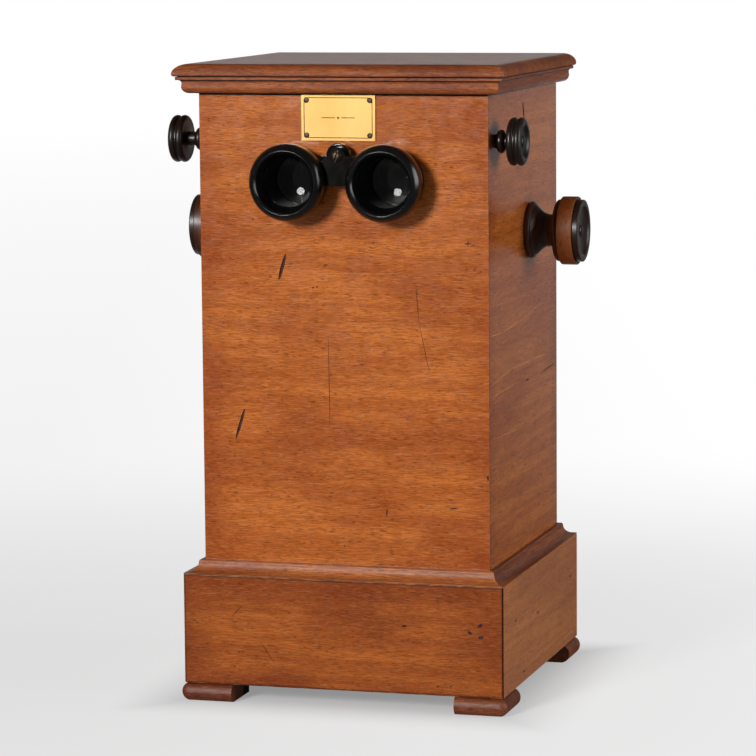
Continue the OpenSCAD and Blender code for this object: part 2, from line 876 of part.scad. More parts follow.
module bridge_screw() {
    color(steel)
    facing_front(0, rack_mid_z)
        difference() {
            union() {
                cylinder(r = bridge_screw_shank_r, h = bridge_out);
                translate([0, 0, bridge_out])
                    cylinder(r = bridge_screw_r, h = bridge_screw_head_t);
            }
            translate([-bridge_screw_slot / 2, -bridge_screw_r, bridge_out + bridge_screw_head_t / 2])
                cube([bridge_screw_slot, 2 * bridge_screw_r, bridge_screw_head_t]);
        }
}

// Rack bar: teeth along its top edge, one of them straight under the pinion's axis
module rack_bar() {
    rack_front = front_y - bridge_back;
    half_tip = tooth_pitch / 4 - backlash / 4 - tooth_module * tan(pressure_angle);
    half_root = tooth_pitch / 4 - backlash / 4 + 1.25 * tooth_module * tan(pressure_angle);
    tip_z = rack_pitch_z + tooth_module;
    color(brass)
    difference() {
        translate([-rack_w / 2, 0, 0])
            rotate([90, 0, 90])
                linear_extrude(rack_w)
                    polygon(concat(
                        [[rack_back, rack_root_z], [rack_back, rack_bottom]],
                        [[rack_front, rack_bottom], [rack_front, rack_root_z]],
                        [
                            for (i = [-rack_teeth_front : rack_teeth_back])
                                let (y = focus_y + i * tooth_pitch)
                                    each [
                                        [y - half_root, rack_root_z], [y - half_tip, tip_z],
                                        [y + half_tip, tip_z], [y + half_root, rack_root_z]
                                    ]
                        ]
                    ));
        facing_front(0, rack_mid_z)
            translate([0, 0, -side_gap])
                cylinder(r = bridge_screw_shank_r + seat_gap, h = bridge_back + side_gap + through);
    }
}

// Focusing shaft, pinion and knobs
module focus_shaft() {
    color(steel)
    cross_bar(focus_y, focus_z, focus_shaft_r, body_w + 2 * focus_shaft_end);
}

function involute(angle) = tan(angle) * 180 / PI - angle;

// One flank of a pinion tooth, from its base circle to its tip, as [radius, angle off the middle]
function pinion_flank(steps = 5) =
    let (
        base_r = pinion_pitch_r * cos(pressure_angle),
        half = (tooth_pitch / 2 - backlash / 2) / 2 / pinion_pitch_r * 180 / PI
    )
    [
        for (i = [0 : steps])
            let (r = base_r + (pinion_tip_r - base_r) * i / steps)
                [r, half + involute(pressure_angle) - involute(acos(base_r / r))]
    ];

module focus_pinion() {
    flank = pinion_flank();
    last = len(flank) - 1;
    step = 360 / pinion_teeth;
    color(brass)
    difference() {
        translate([-pinion_w / 2, focus_y, focus_z])
            rotate([90, 0, 90])
                linear_extrude(pinion_w)
                    polygon([
                        for (i = [0 : pinion_teeth - 1])
                            let (
                                middle = -90 + (i + 0.5) * step,
                                root = [pinion_root_r, flank[0][1]],
                                left = concat([root], flank),
                                right = concat([for (k = [last : -1 : 0]) flank[k]], [root])
                            )
                                each concat(
                                    [for (p = left) p[0] * [cos(middle - p[1]), sin(middle - p[1])]],
                                    [for (p = right) p[0] * [cos(middle + p[1]), sin(middle + p[1])]]
                                )
                    ]);
        cross_bar(focus_y, focus_z, focus_shaft_r + seat_gap, pinion_w + 2 * through);
    }
}

module focus_bushes() {
    color(brass)
    for (mx = [0, 1])
        mirror([mx, 0, 0])
            facing_right(focus_y, focus_z)
                translate([0, 0, -wall])
                    difference() {
                        cylinder(r = focus_bush_r, h = wall);
                        translate([0, 0, -through])
                            cylinder(r = focus_shaft_r + run_gap, h = wall + 2 * through);
                    }
}

// A turned knob: collar, bead and neck, then a rim of two beads round a dished face
module focus_knob(knob_out) {
    rim_z0 = knob_out - focus_rim_w;
    bead_h = focus_rim_w / 4;
    bead_x = focus_knob_r - bead_h;
    neck = focus_bush_r + 0.3;
    bore_r = focus_shaft_r + seat_gap;
    face_h = knob_out - 1.4;
    color(ebonised)
    rotate_extrude()
        polygon(concat(
            [[0, focus_shaft_end + side_gap], [bore_r, focus_shaft_end + side_gap], [bore_r, side_gap]],
            [[neck, side_gap], [neck, 2]],
            arc([neck, 4.6], 3, 2.6, -90, 90, 8),
            [[neck, rim_z0 - 0.4], [bead_x - 2, rim_z0]],
            arc([bead_x, rim_z0 + bead_h], bead_h, bead_h, -90, 70),
            arc([bead_x, knob_out - bead_h], bead_h, bead_h, -70, 90),
            [[bead_x - 2, knob_out], [bead_x - 3.5, face_h], [5, face_h]],
            arc([0, face_h], 4, 1.2, 0, 90, 6)
        ));
}

module focus_knob_right() { facing_right(focus_y, focus_z) focus_knob(focus_knob_out); }
module focus_knob_left() {
    mirror([1, 0, 0])
        facing_right(focus_y, focus_z)
            focus_knob(focus_knob_out + focus_left_more);
}

// Drive shaft, bushes, drum and knobs
module drive_shaft() {
    color(steel)
    cross_bar(drive_y, drive_z, drive_shaft_r, body_w + 2 * drive_shaft_end);
}

module drive_bushes() {
    color(brass)
    for (mx = [0, 1])
        mirror([mx, 0, 0])
            facing_right(drive_y, drive_z)
                translate([0, 0, -wall])
                    difference() {
                        cylinder(r = drive_bush_r, h = wall);
                        translate([0, 0, -through])
                            cylinder(r = drive_shaft_r + run_gap, h = wall + 2 * through);
                    }
}

module drive_drum() {
    color(mahogany)
    difference() {
        cross_bar(drive_y, drive_z, drum_r, drum_len);
        cross_bar(drive_y, drive_z, drive_shaft_r + seat_gap, drum_len + 2 * through);
    }
}

// A turned knob: flange against the cabinet, hollow-sided neck and a thick wheel whose rim stands
// between a bead and a step
module drive_knob(knob_out) {
    wheel_z = knob_out - wheel_w;
    rim_z0 = wheel_z + band_w;
    rim_z1 = knob_out - band_w;
    band_r = wheel_r - band_drop;
    bead_h = band_w / 2;
    ease = 0.6;
    edge_r = 1;
    step_r = flange_r - edge_r;
    cone_h = flange_w + 7;
    bore_r = drive_shaft_r + seat_gap;
    bore_h = drive_shaft_end + side_gap;
    ring_r = wheel_r - 6;
    dish_h = knob_out - 1.2;
    color(ebonised)
    rotate_extrude()
        polygon(concat(
            [[0, bore_h], [bore_r, bore_h], [bore_r, side_gap]],
            arc([step_r, flange_w / 2 + side_gap], edge_r, flange_w / 2, -90, 90, 8),
            arc([step_r + 0.5, cone_h], step_r + 0.5 - neck_r, cone_h - flange_w - 1, 260, 180, 8),
            [[neck_r, wheel_z - 1.5], [neck_r + 2, wheel_z]],
            arc([band_r - bead_h, wheel_z + bead_h], bead_h, bead_h, -90, 90, 8),
            [[wheel_r - ease, rim_z0], [wheel_r, rim_z0 + ease], [wheel_r, rim_z1 - ease]],
            [[wheel_r - ease, rim_z1], [band_r, rim_z1], [band_r, knob_out - ease]],
            [[band_r - ease, knob_out], [ring_r, knob_out], [ring_r - 1, dish_h], [5, dish_h - 0.8]],
            arc([0, dish_h - 0.8], 4, 1.2, 0, 90, 6)
        ));
}

module drive_knob_right() { facing_right(drive_y, drive_z) drive_knob(drive_knob_out); }
module drive_knob_left() {
    mirror([1, 0, 0])
        facing_right(drive_y, drive_z)
            drive_knob(drive_knob_out + drive_left_more);
}

// Septum: its back edge follows the sweep of the slides
function septum_low() = eye_z - slide_h / 2;

module septum() {
    color(mahogany)
    difference() {
        translate([-septum_t / 2, front_inner - septum_groove_d, septum_low()])
            cube([septum_t, drive_y - front_inner, rack_bottom - side_gap - septum_low()]);
        cross_bar(drive_y, drive_z, slide_tip_r + slide_clear / 2, septum_t + 2 * through);
    }
}

// Slide chain: carrier and slide stand on the axis of the drum or the roller, pointing up
module carrier() {
    link_len = link_pitch - link_gap;
    grip_w = slide_t + 2 * panel_gap;
    color(black_tin)
    difference() {
        union() {
            translate([-carrier_w / 2, -link_len / 2, belt_r - link_t / 2])
                cube([carrier_w, link_len, link_t]);
            translate([-carrier_w / 2, -grip_w / 2 - grip_t, belt_r])
                cube([carrier_w, grip_w + 2 * grip_t, grip_top_r - belt_r]);
        }
        translate([-carrier_w / 2 - through, -grip_w / 2, slide_root_r])
            cube([carrier_w + 2 * through, grip_w, grip_h + through]);
    }
}

module slide() {
    color(clear_glass)
    translate([-slide_w / 2, -slide_t / 2, slide_root_r])
        cube([slide_w, slide_t, slide_h]);
}

// Children turned about the chain's axis at a number of links below the drum
module on_chain(links_down, angle) {
    translate([0, drive_y, drive_z - links_down * link_pitch])
        rotate([angle, 0, 0])
            children();
}

module top_places() {
    on_chain(0, 0) children();
    on_chain(0, -90) children();
}

module front_places() {
    for (i = [0 : run_links - 1])
        on_chain(i, 90) children();
}

module rear_places() {
    for (i = [1 : run_links])
        on_chain(i, -90) children();
}

module lower_places() {
    on_chain(run_links, 90) children();
    on_chain(run_links, 180) children();
}

module top_carriers() { top_places() carrier(); }
module top_slides() { top_places() slide(); }
module front_carriers() { front_places() carrier(); }
module front_slides() { front_places() slide(); }
module rear_carriers() { rear_places() carrier(); }
module rear_slides() { rear_places() slide(); }
module lower_carriers() { lower_places() carrier(); }
module lower_slides() { lower_places() slide(); }

module guide_roller() {
    color(mahogany) {
        cross_bar(drive_y, roller_z, drum_r, drum_len);
        cross_bar(drive_y, roller_z, pivot_r, inner_w + 2 * pivot_in);
    }
}

front_panel();
left_side_panel();
right_side_panel();
back_top_rail();
back_bottom_rail();
floor_board();
plinth_front();
plinth_back();
plinth_left();
plinth_right();
base_moulding_front();
base_moulding_back();
base_moulding_left();
base_moulding_right();
cornice_front();
cornice_left();
cornice_right();
feet();
label_plate();
label_screws();
eyepiece_sleeves();
septum();
focus_bushes();
drive_bushes();
lid_hinge_case_leaves();
door_hinge_case_leaves();
hinge_pins();
lid_slab();
lid_hinge_lid_leaves();
door_stiles();
door_rails();
door_panel();
ground_glass();
door_knob();
door_hinge_door_leaves();
focus_shaft();
focus_pinion();
focus_knob_left();
focus_knob_right();
eyecup_left();
eyecup_right();
eyepiece_tubes();
eye_lenses();
lens_rings();
eyepiece_bridge();
bridge_screw();
rack_bar();
drive_shaft();
drive_drum();
drive_knob_left();
drive_knob_right();
top_carriers();
top_slides();
front_carriers();
front_slides();
rear_carriers();
rear_slides();
guide_roller();
lower_carriers();
lower_slides();
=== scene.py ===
import math

import bmesh
import bpy
from mathutils import Matrix, Quaternion, Vector


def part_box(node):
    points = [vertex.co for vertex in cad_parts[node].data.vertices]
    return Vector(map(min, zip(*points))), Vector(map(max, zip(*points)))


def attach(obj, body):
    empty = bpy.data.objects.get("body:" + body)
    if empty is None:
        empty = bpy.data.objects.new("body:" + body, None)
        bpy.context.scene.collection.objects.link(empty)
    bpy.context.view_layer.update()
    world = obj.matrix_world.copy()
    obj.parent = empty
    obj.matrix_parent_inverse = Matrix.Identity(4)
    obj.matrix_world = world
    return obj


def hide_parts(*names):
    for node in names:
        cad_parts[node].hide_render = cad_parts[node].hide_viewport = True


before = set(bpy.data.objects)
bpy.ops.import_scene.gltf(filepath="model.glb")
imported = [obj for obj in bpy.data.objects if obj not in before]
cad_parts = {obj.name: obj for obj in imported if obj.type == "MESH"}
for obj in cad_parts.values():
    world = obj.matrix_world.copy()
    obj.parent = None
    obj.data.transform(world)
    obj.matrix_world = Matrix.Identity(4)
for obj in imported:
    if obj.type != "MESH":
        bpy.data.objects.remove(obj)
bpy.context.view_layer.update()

MM = 0.001
NEAR_ZERO = 0.01 * MM
scene = bpy.context.scene
scene.view_settings.view_transform = "Standard"


def middle(node):
    low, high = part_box(node)
    return (low + high) / 2


def reach(knob):
    """How far a knob stands out from the side of the cabinet, in mm."""
    low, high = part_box(knob)
    return (max(high.x, -low.x) - SIDE_X) / MM


# Places read from the frame
FRONT_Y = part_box("front_panel")[0].y
BACK_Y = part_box("door_stiles")[1].y
SIDE_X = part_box("right_side_panel")[1].x
PLINTH_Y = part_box("plinth_front")[0].y
PLINTH_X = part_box("plinth_right")[1].x
STRIP_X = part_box("base_moulding_right")[1].x
CORNICE_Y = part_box("cornice_front")[0].y
CORNICE_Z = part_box("cornice_front")[0].z
LID_Z, LID_TOP = [corner.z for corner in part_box("lid_slab")]
INSIDE = Vector((*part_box("floor_board")[1].xy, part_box("front_panel")[1].z))
EYE_Z = middle("eyecup_right").z
EYE_X = middle("eyecup_right").x
FOCUS = middle("focus_knob_right")
DRIVE = middle("drive_knob_right")
BRIDGE_SCREW = middle("bridge_screw")
DOOR_KNOB = middle("door_knob")
PLATE_LOW, PLATE_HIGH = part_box("label_plate")

TO_FRONT = Vector((0, -1, 0))
TO_BACK = Vector((0, 1, 0))
TO_RIGHT = Vector((1, 0, 0))
TO_LEFT = Vector((-1, 0, 0))
UP = Vector((0, 0, 1))
VIEW_AZIMUTH = 16.065

# Sizes of the drive knobs, in mm
WHEEL_R = 22.5
WHEEL_W = 17.8
BAND_W = 3.8
BAND_DROP = 2.0
FLANGE_R = 18.7
NECK_R = 10.6

# Heights at which a thin dark line of dirt and painted shade lies along the joints: under the lid,
# under the fillet below it and under the cornice. On the boards the last line lies just below the
# cornice.
JOINT_LINES = [LID_Z, LID_Z - 2.4 * MM, CORNICE_Z]
UNDER_CORNICE = [CORNICE_Z - 0.7 * MM]


# Camera and lamps
def aimed(name, data, target, azimuth, elevation, distance, roll=0.0):
    """Puts a camera or lamp where it looks at the target. Angles are in degrees, azimuth 0 is
    straight out of the cabinet's front, and lengths are in metres."""
    turn, rise = math.radians(azimuth), math.radians(elevation)
    way = Vector((math.sin(turn) * math.cos(rise), -math.cos(turn) * math.cos(rise), math.sin(rise)))
    made = bpy.data.objects.new(name, data)
    scene.collection.objects.link(made)
    made.location = target + way * distance
    made.rotation_mode = "QUATERNION"
    upright = (-way).to_track_quat("-Z", "Y")
    made.rotation_quaternion = upright @ Quaternion((0, 0, 1), math.radians(roll))
    return made


def add_camera():
    """Fitted to the photograph's frame of 756 by 756 pixels."""
    target = Vector((-4.596, 0, 202.66)) * MM
    focal_px, image_px, sensor_mm = 3575.85, 756, 36
    data = bpy.data.cameras.new("camera")
    data.sensor_width = sensor_mm
    data.lens = focal_px / image_px * sensor_mm
    scene.camera = aimed("camera", data, target, VIEW_AZIMUTH, elevation=7.306,
                         distance=2391.3 * MM, roll=-0.47)


def add_lamps():
    """A round key lamp at the left and a wider, weaker fill at the right. The level is what the lamp
    alone gives a white surface that faces it."""
    aim = Vector((0, 0, 0.22))
    for name, azimuth, elevation, distance, size, level in (
        ("key_lamp", -17, 17.5, 3.5, 0.8, 0.99),
        ("fill_lamp", 90, 10, 4.0, 3.2, 0.72),
    ):
        data = bpy.data.lights.new(name, "AREA")
        data.shape = "DISK"
        data.size = size
        data.energy = level * math.pi ** 2 * distance ** 2
        aimed(name, data, aim, azimuth, elevation, distance)


# Nodes of materials
def add(tree, kind, inputs=(), **settings):
    """Adds a shader node, sets it up, and gives each input a value or a link. Inputs come by name,
    or as a list in the order of the sockets: a Map Range's are the value, the two ends that it
    comes from and the two that it goes to. A node given as an input is linked by the first of its
    outputs that is in use."""
    node = tree.nodes.new("ShaderNode" + kind)
    for name, value in settings.items():
        setattr(node, name, value)
    for key, value in inputs.items() if isinstance(inputs, dict) else enumerate(inputs):
        if isinstance(value, bpy.types.Node):
            value = next(output for output in value.outputs if output.enabled)
        if isinstance(value, bpy.types.NodeSocket):
            tree.links.new(value, node.inputs[key])
        else:
            node.inputs[key].default_value = value
    return node


def srgb(code):
    """An sRGB hex value as linear RGBA."""
    parts = [int(code[i:i + 2], 16) / 255 for i in (1, 3, 5)]
    return [p / 12.92 if p <= 0.04045 else ((p + 0.055) / 1.055) ** 2.4 for p in parts] + [1]


def new_material(name):
    material = bpy.data.materials.new(name)
    material.use_nodes = True
    tree = material.node_tree
    tree.nodes.clear()
    return material, tree, add(tree, "TexCoord").outputs["Object"]


def streaks(tree, place, along, length, width, detail=2.0):
    """Noise with cells that are this long along an axis and this wide across it, in mm."""
    cell = [width * MM] * 3
    cell["XYZ".index(along)] = length * MM
    cells = add(tree, "Mapping", {"Vector": place, "Scale": [1 / side for side in cell]})
    return add(tree, "TexNoise", {"Vector": cells, "Scale": 1.0, "Detail": detail})


# French-polished mahogany: the eye sees orange-brown wood with short wavy dashes, pale and dark,
# over soft bands a few millimetres wide, dark open pores, and a gloss that greys the faces seen at
# a low angle. Length with the grain and width across it, in mm, and the detail of each layer of the
# figure. Real pores are about 0.2 mm wide: they are drawn wider, or they would not show.
FIGURE = {
    "wander": (55, 14, 2.0),
    "bands": (90, 6, 2.0),
    "dashes": (8, 0.6, 2.0),
    "flecks": (7, 0.55, 2.0),
    "pores": (4.0, 0.5, 1.0),
    "blotches": (70, 42, 2.0),
    "scuffs": (9, 7, 3.0),
}
# The noise values between which a layer's tint comes in, and its largest share. The contrast of a
# board scales the share of the fine layers.
TINT = {
    "bands": (0.36, 0.64, 0.85),
    "blotches": (0.42, 0.66, 0.6),
    "flecks": (0.50, 0.64, 0.26),
    "dashes": (0.44, 0.60, 0.5),
    "pores": (0.60, 0.69, 0.6),
}
FINE = ("flecks", "dashes", "pores")
BLACK_PAINT = "#15120f"
# The colour of the lines along the joints: dirt, and painted shade where parts shadow the joint
JOINT_DIRT_AND_SHADE = "#1d0d07"


def figure_layers(tree, place, along, stretch):
    """The noise of each layer. After the first, the layers follow grain that strays from straight
    by up to about 2 mm to either side."""
    stray = (6 * MM,) * 3
    layer = {}
    for label, (length, width, detail) in FIGURE.items():
        layer[label] = streaks(tree, place, along, length * stretch, width, detail)
        if label == "wander":
            centred = add(tree, "VectorMath", [layer[label].outputs["Color"], (0.5,) * 3],
                          operation="SUBTRACT")
            place = add(tree, "VectorMath", [centred, stray, place], operation="MULTIPLY_ADD")
    return layer


def inside_cabinet(tree, place):
    """1 on the faces inside the cabinet, which are painted black against stray light."""
    past = 0.15 * MM
    sides = add(tree, "VectorMath", [place], operation="ABSOLUTE")
    part = add(tree, "SeparateXYZ", [sides])
    inside = 1.0
    for axis, edge in zip("XYZ", INSIDE):
        within = add(tree, "Math", [part.outputs[axis], edge + past], operation="LESS_THAN")
        inside = add(tree, "Math", [within, inside], operation="MULTIPLY")
    return inside


def from_board_edges(tree, place, node):
    """How far a point lies from the nearest end or side of a board, and how far below its face."""
    low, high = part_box(node)
    half = (high - low) / 2
    thin = min(range(3), key=lambda axis: half[axis])
    from_middle = add(tree, "VectorMath", [place, middle(node)], operation="SUBTRACT")
    apart = add(tree, "VectorMath", [from_middle], operation="ABSOLUTE")
    to_edge = add(tree, "VectorMath", [half, apart], operation="SUBTRACT")
    axes = add(tree, "SeparateXYZ", [to_edge])
    first, second = [axes.outputs[axis] for axis in range(3) if axis != thin]
    nearest = add(tree, "Math", [first, second], operation="MINIMUM")
    return nearest, axes.outputs[thin]


def darker_towards_edges(tree, nearest, blotches):
    """Darker and redder towards a board's edges, unevenly."""
    band = add(tree, "MapRange", [nearest, 0.0, 26 * MM, 0.62, 0.0],
               interpolation_type="SMOOTHERSTEP")
    uneven = add(tree, "MapRange", [blotches, 0.3, 0.65, 0.35])
    return add(tree, "Math", [band, uneven], operation="MULTIPLY")


def dark_rim_line(tree, nearest, below_face):
    """A thin dark line along the rim of a board's outer face."""
    line = add(tree, "MapRange", [nearest, 0.6 * MM, 1.8 * MM, 0.75, 0.0])
    on_face = add(tree, "Math", [below_face, 0.0, 0.5 * MM], operation="COMPARE")
    return add(tree, "Math", [line, on_face], operation="MULTIPLY")


def joint_dirt_and_shade(tree, height, joints):
    """Thin dark lines along level joints: dirt, and painted shade where the joint is shadowed."""
    half_line = 0.45 * MM
    dirt = 0.0
    for joint in joints:
        near = add(tree, "Math", [height, joint, half_line], operation="COMPARE")
        dirt = add(tree, "Math", [near, dirt], operation="MAXIMUM")
    return dirt


def polished_mahogany(name, along, tones, gloss=0.18, contrast=1.0, shift=0.0, stretch=1.0,
                      ior=1.5, joints=(), polished_top=None, edges=None, outlined=False):
    """The grain runs along one axis. The shift takes each board from another part of the log, and
    the stretch lengthens its figure where the wood was cut straighter along the grain.
    Joints are the heights of level joints, in metres, where a thin dark line is painted for dirt and
    for the shade in the joint, and the polished top is the height of a flat face that has kept its
    gloss.
    Edges names the CAD node whose outline the wood darkens along, unevenly; outlined adds a thin
    dark line there."""
    pale, dark, red, light, dash, pore = [srgb(code) for code in tones]
    material, tree, place = new_material(name)
    moved = add(tree, "Mapping", {"Vector": place, "Location": (shift, shift * 0.7, shift * 1.3)})
    layer = figure_layers(tree, moved, along, stretch)
    amount = {}
    for label, (low, high, most) in TINT.items():
        share = most * contrast if label in FINE else most
        amount[label] = add(tree, "MapRange", [layer[label], low, high, 0.0, share],
                            interpolation_type="SMOOTHSTEP")
    # Edges worn down to bare, paler wood, in broken stretches
    worn = add(tree, "Attribute", attribute_name="wear").outputs["Fac"]
    broken = add(tree, "MapRange", [layer["scuffs"], 0.45, 0.62, 0.0, 0.5])
    wear = add(tree, "Math", [worn, broken], operation="MULTIPLY")
    height = add(tree, "SeparateXYZ", [place]).outputs["Z"]
    # Thin dark lines at the joints: dirt, and painted shade under the lid and the cornice
    grime_and_shade = joint_dirt_and_shade(tree, height, joints) if joints else None
    darkened = outline = None
    if edges:
        nearest, below_face = from_board_edges(tree, place, edges)
        darkened = darker_towards_edges(tree, nearest, layer["blotches"])
        if outlined:
            outline = dark_rim_line(tree, nearest, below_face)
    inside = inside_cabinet(tree, place)
    colour = pale
    for factor, tint in (
        (amount["bands"], dark), (amount["blotches"], red), (darkened, red),
        (amount["flecks"], light), (amount["dashes"], dash), (amount["pores"], pore),
        (outline, pore), (wear, light), (grime_and_shade, srgb(JOINT_DIRT_AND_SHADE)), (inside, srgb(BLACK_PAINT)),
    ):
        if factor is not None:
            colour = add(tree, "Mix", {0: factor, 6: colour, 7: tint}, data_type="RGBA")
    rough = add(tree, "MapRange", [layer["scuffs"], 0.3, 0.7, gloss - 0.03, gloss + 0.06])
    if polished_top:
        smooth = add(tree, "MapRange", [height, polished_top - 1.0 * MM, polished_top - 0.2 * MM,
                                        1.0, 0.52])
        rough = add(tree, "Math", [rough, smooth], operation="MULTIPLY")
    # Broken edges have lost their polish, and the paint inside is matt
    for share, dull in ((worn, 0.62), (inside, 0.8)):
        rough = add(tree, "Mix", {0: share, 2: rough, 3: dull}, data_type="FLOAT")
    depth = add(tree, "Math", [amount["pores"], amount["dashes"]], operation="ADD")
    bump = add(tree, "Bump", {"Height": depth, "Strength": 0.12, "Distance": 0.04 * MM},
               invert=True)
    shader = add(tree, "BsdfPrincipled", {"Base Color": colour, "Roughness": rough, "IOR": ior,
                                          "Normal": bump})
    add(tree, "OutputMaterial", [shader])
    return material


# Turned wood stained and polished black: red-brown shows through where hands wear it, most of all
# round the rim of the drive wheels, where dark specks of stain are left in the pores
def handled_rim(tree, place, across):
    """The rims of the drive wheels. The right-hand wheel is the one that is mostly turned."""
    wheel = add(tree, "Mapping", {"Vector": place, "Location": (0, -DRIVE.y, -DRIVE.z),
                                  "Scale": (0, 1, 1)})
    radius = add(tree, "VectorMath", [wheel], operation="LENGTH")
    rim = add(tree, "MapRange", [radius, (WHEEL_R - 1.2) * MM, (WHEEL_R - 0.1) * MM])
    on_wheel = add(tree, "Math", [radius, (WHEEL_R + 1) * MM], operation="LESS_THAN")
    on_rim = add(tree, "Math", [rim, on_wheel], operation="MULTIPLY")
    most_used = add(tree, "MapRange", [across, -SIDE_X, SIDE_X, 0.12])
    return add(tree, "Math", [on_rim, most_used], operation="MULTIPLY")


def ebonised_wood(name, black, brown):
    material, tree, place = new_material(name)
    across = add(tree, "SeparateXYZ", [place]).outputs["X"]
    turning = streaks(tree, place, "X", 0.9, 14)
    specks = streaks(tree, place, "X", 1.1, 3.2)
    patch = add(tree, "TexNoise", {"Vector": place, "Scale": 1 / (9 * MM), "Detail": 3.0})
    handled = handled_rim(tree, place, across)
    patchy = add(tree, "MapRange", [specks, 0.52, 0.66, 1.0, 0.45])
    worn = add(tree, "Math", [handled, patchy], operation="MULTIPLY")
    tone = add(tree, "MapRange", [turning, 0.35, 0.7])
    # The wheel's face is never rubbed by the fingers and has stayed black
    face_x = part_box("drive_knob_right")[1].x - (BAND_W + 0.5) * MM
    outward = add(tree, "Math", [across], operation="ABSOLUTE")
    rubbed = add(tree, "Math", [outward, face_x], operation="LESS_THAN")
    brown_share = add(tree, "Math", [tone, rubbed], operation="MULTIPLY")
    dark = add(tree, "Mix", {0: brown_share, 6: srgb(black), 7: srgb(brown)}, data_type="RGBA")
    colour = add(tree, "Mix", {0: worn, 6: dark, 7: srgb("#844310")}, data_type="RGBA")
    polish = add(tree, "MapRange", [patch, 0.3, 0.7, 0.3, 0.42])
    rough = add(tree, "Math", [handled, 0.2, polish], operation="MULTIPLY_ADD")
    bump = add(tree, "Bump", {"Height": turning, "Strength": 0.25, "Distance": 0.08 * MM})
    shader = add(tree, "BsdfPrincipled", {"Base Color": colour, "Roughness": rough, "IOR": 1.45,
                                          "Normal": bump})
    add(tree, "OutputMaterial", [shader])
    return material


# Smooth materials whose colour and gloss vary only a little: two colours in soft patches,
# with a roughness that goes from one value to another over the same patches
def patchy_finish(name, first, second, patch_mm, rough, metallic=0.0, ior=1.5, clear=0.0):
    material, tree, place = new_material(name)
    noise = add(tree, "TexNoise", {"Vector": place, "Scale": 1 / (patch_mm * MM), "Detail": 4.0})
    step = add(tree, "MapRange", [noise, 0.35, 0.65])
    colour = add(tree, "Mix", {0: step, 6: srgb(first), 7: srgb(second)}, data_type="RGBA")
    gloss = add(tree, "MapRange", [noise, 0.3, 0.7, rough[0], rough[1]])
    shader = add(tree, "BsdfPrincipled", {"Base Color": colour, "Roughness": gloss, "IOR": ior,
                                          "Metallic": metallic, "Transmission Weight": clear})
    add(tree, "OutputMaterial", [shader])
    return material


# Clear flint glass: colourless, seen by its highlights, with faint smears
def flint_glass():
    material, tree, place = new_material("flint_glass_polished")
    smear = add(tree, "TexNoise", {"Vector": place, "Scale": 1 / (6 * MM), "Detail": 3.0})
    gloss = add(tree, "MapRange", [smear, 0.4, 0.7, 0.0, 0.03])
    shader = add(tree, "BsdfPrincipled", {"Base Color": srgb("#f4f7f5"), "Roughness": gloss,
                                          "IOR": 1.62, "Transmission Weight": 1.0})
    add(tree, "OutputMaterial", [shader])
    return material


# Glass stereo slides: a dark paper mask down the middle and at both ends, and two warm grey
# pictures, left without any drawing
def slide_glass():
    half_bar, picture_end = 5 * MM, 47 * MM
    material, tree, place = new_material("slide_glass_masked")
    sides = add(tree, "VectorMath", [place], operation="ABSOLUTE")
    aside = add(tree, "SeparateXYZ", [sides]).outputs["X"]
    middle_mask = add(tree, "Math", [aside, half_bar], operation="LESS_THAN")
    end_mask = add(tree, "Math", [aside, picture_end], operation="GREATER_THAN")
    mask = add(tree, "Math", [middle_mask, end_mask], operation="ADD")
    cloud = add(tree, "TexNoise", {"Vector": place, "Scale": 1 / (14 * MM), "Detail": 4.0})
    picture = add(tree, "Mix", {0: cloud, 6: srgb("#1d1a17"), 7: srgb("#4a443b")},
                  data_type="RGBA")
    colour = add(tree, "Mix", {0: mask, 6: picture, 7: srgb("#121110")}, data_type="RGBA")
    clear = add(tree, "MapRange", [mask, 0.0, 1.0, 0.35, 0.0])
    shader = add(tree, "BsdfPrincipled", {"Base Color": colour, "Roughness": 0.08, "IOR": 1.52,
                                          "Transmission Weight": clear})
    add(tree, "OutputMaterial", [shader])
    return material


# Shapes
WELD = 0.001 * MM


def arc(centre, radii, start, stop, steps=10):
    """Points of an elliptic arc round a centre, angles in degrees."""
    turns = [math.radians(start + (stop - start) * i / steps) for i in range(steps + 1)]
    return [(centre[0] + radii[0] * math.cos(t), centre[1] + radii[1] * math.sin(t)) for t in turns]


def softened(profile, steps=5):
    """The profile with each corner that has a third value rounded that far along its sides."""
    points = []
    for i, (radius, height, *soft) in enumerate(profile):
        corner = Vector((radius, height))
        if not soft:
            points.append(corner)
            continue
        before = Vector(profile[i - 1][:2]) - corner
        after = Vector(profile[(i + 1) % len(profile)][:2]) - corner
        start = corner + before.normalized() * soft[0]
        end = corner + after.normalized() * soft[0]
        for k in range(steps + 1):
            t = k / steps
            points.append(start * (1 - t) ** 2 + corner * 2 * t * (1 - t) + end * t ** 2)
    return points


def turned(profile, foot, axis, steps=112):
    """A lathe-turned solid from (radius, height) points in mm. A profile that does not start on
    the axis is closed into a ring."""
    bm = bmesh.new()
    verts = [bm.verts.new((radius * MM, 0, height * MM)) for radius, height in softened(profile)]
    edges = [bm.edges.new(pair) for pair in zip(verts, verts[1:])]
    if profile[0][0] > 0:
        edges.append(bm.edges.new((verts[-1], verts[0])))
    bmesh.ops.spin(bm, geom=verts + edges, cent=(0, 0, 0), axis=(0, 0, 1), angle=2 * math.pi,
                   steps=steps, use_merge=True)
    bmesh.ops.remove_doubles(bm, verts=bm.verts, dist=WELD)
    bmesh.ops.recalc_face_normals(bm, faces=bm.faces)
    turn = UP.rotation_difference(axis).to_matrix().to_4x4()
    bmesh.ops.transform(bm, matrix=Matrix.Translation(foot) @ turn, verts=bm.verts)
    return bm


def block(size, place, turn=0, axis="Z"):
    """A box of this size, turned about an axis by some degrees and moved to its place."""
    bm = bmesh.new()
    bmesh.ops.create_cube(bm, size=1)
    bmesh.ops.scale(bm, vec=size, verts=bm.verts)
    bmesh.ops.rotate(bm, matrix=Matrix.Rotation(math.radians(turn), 3, axis), verts=bm.verts)
    bmesh.ops.translate(bm, vec=place, verts=bm.verts)
    return bm


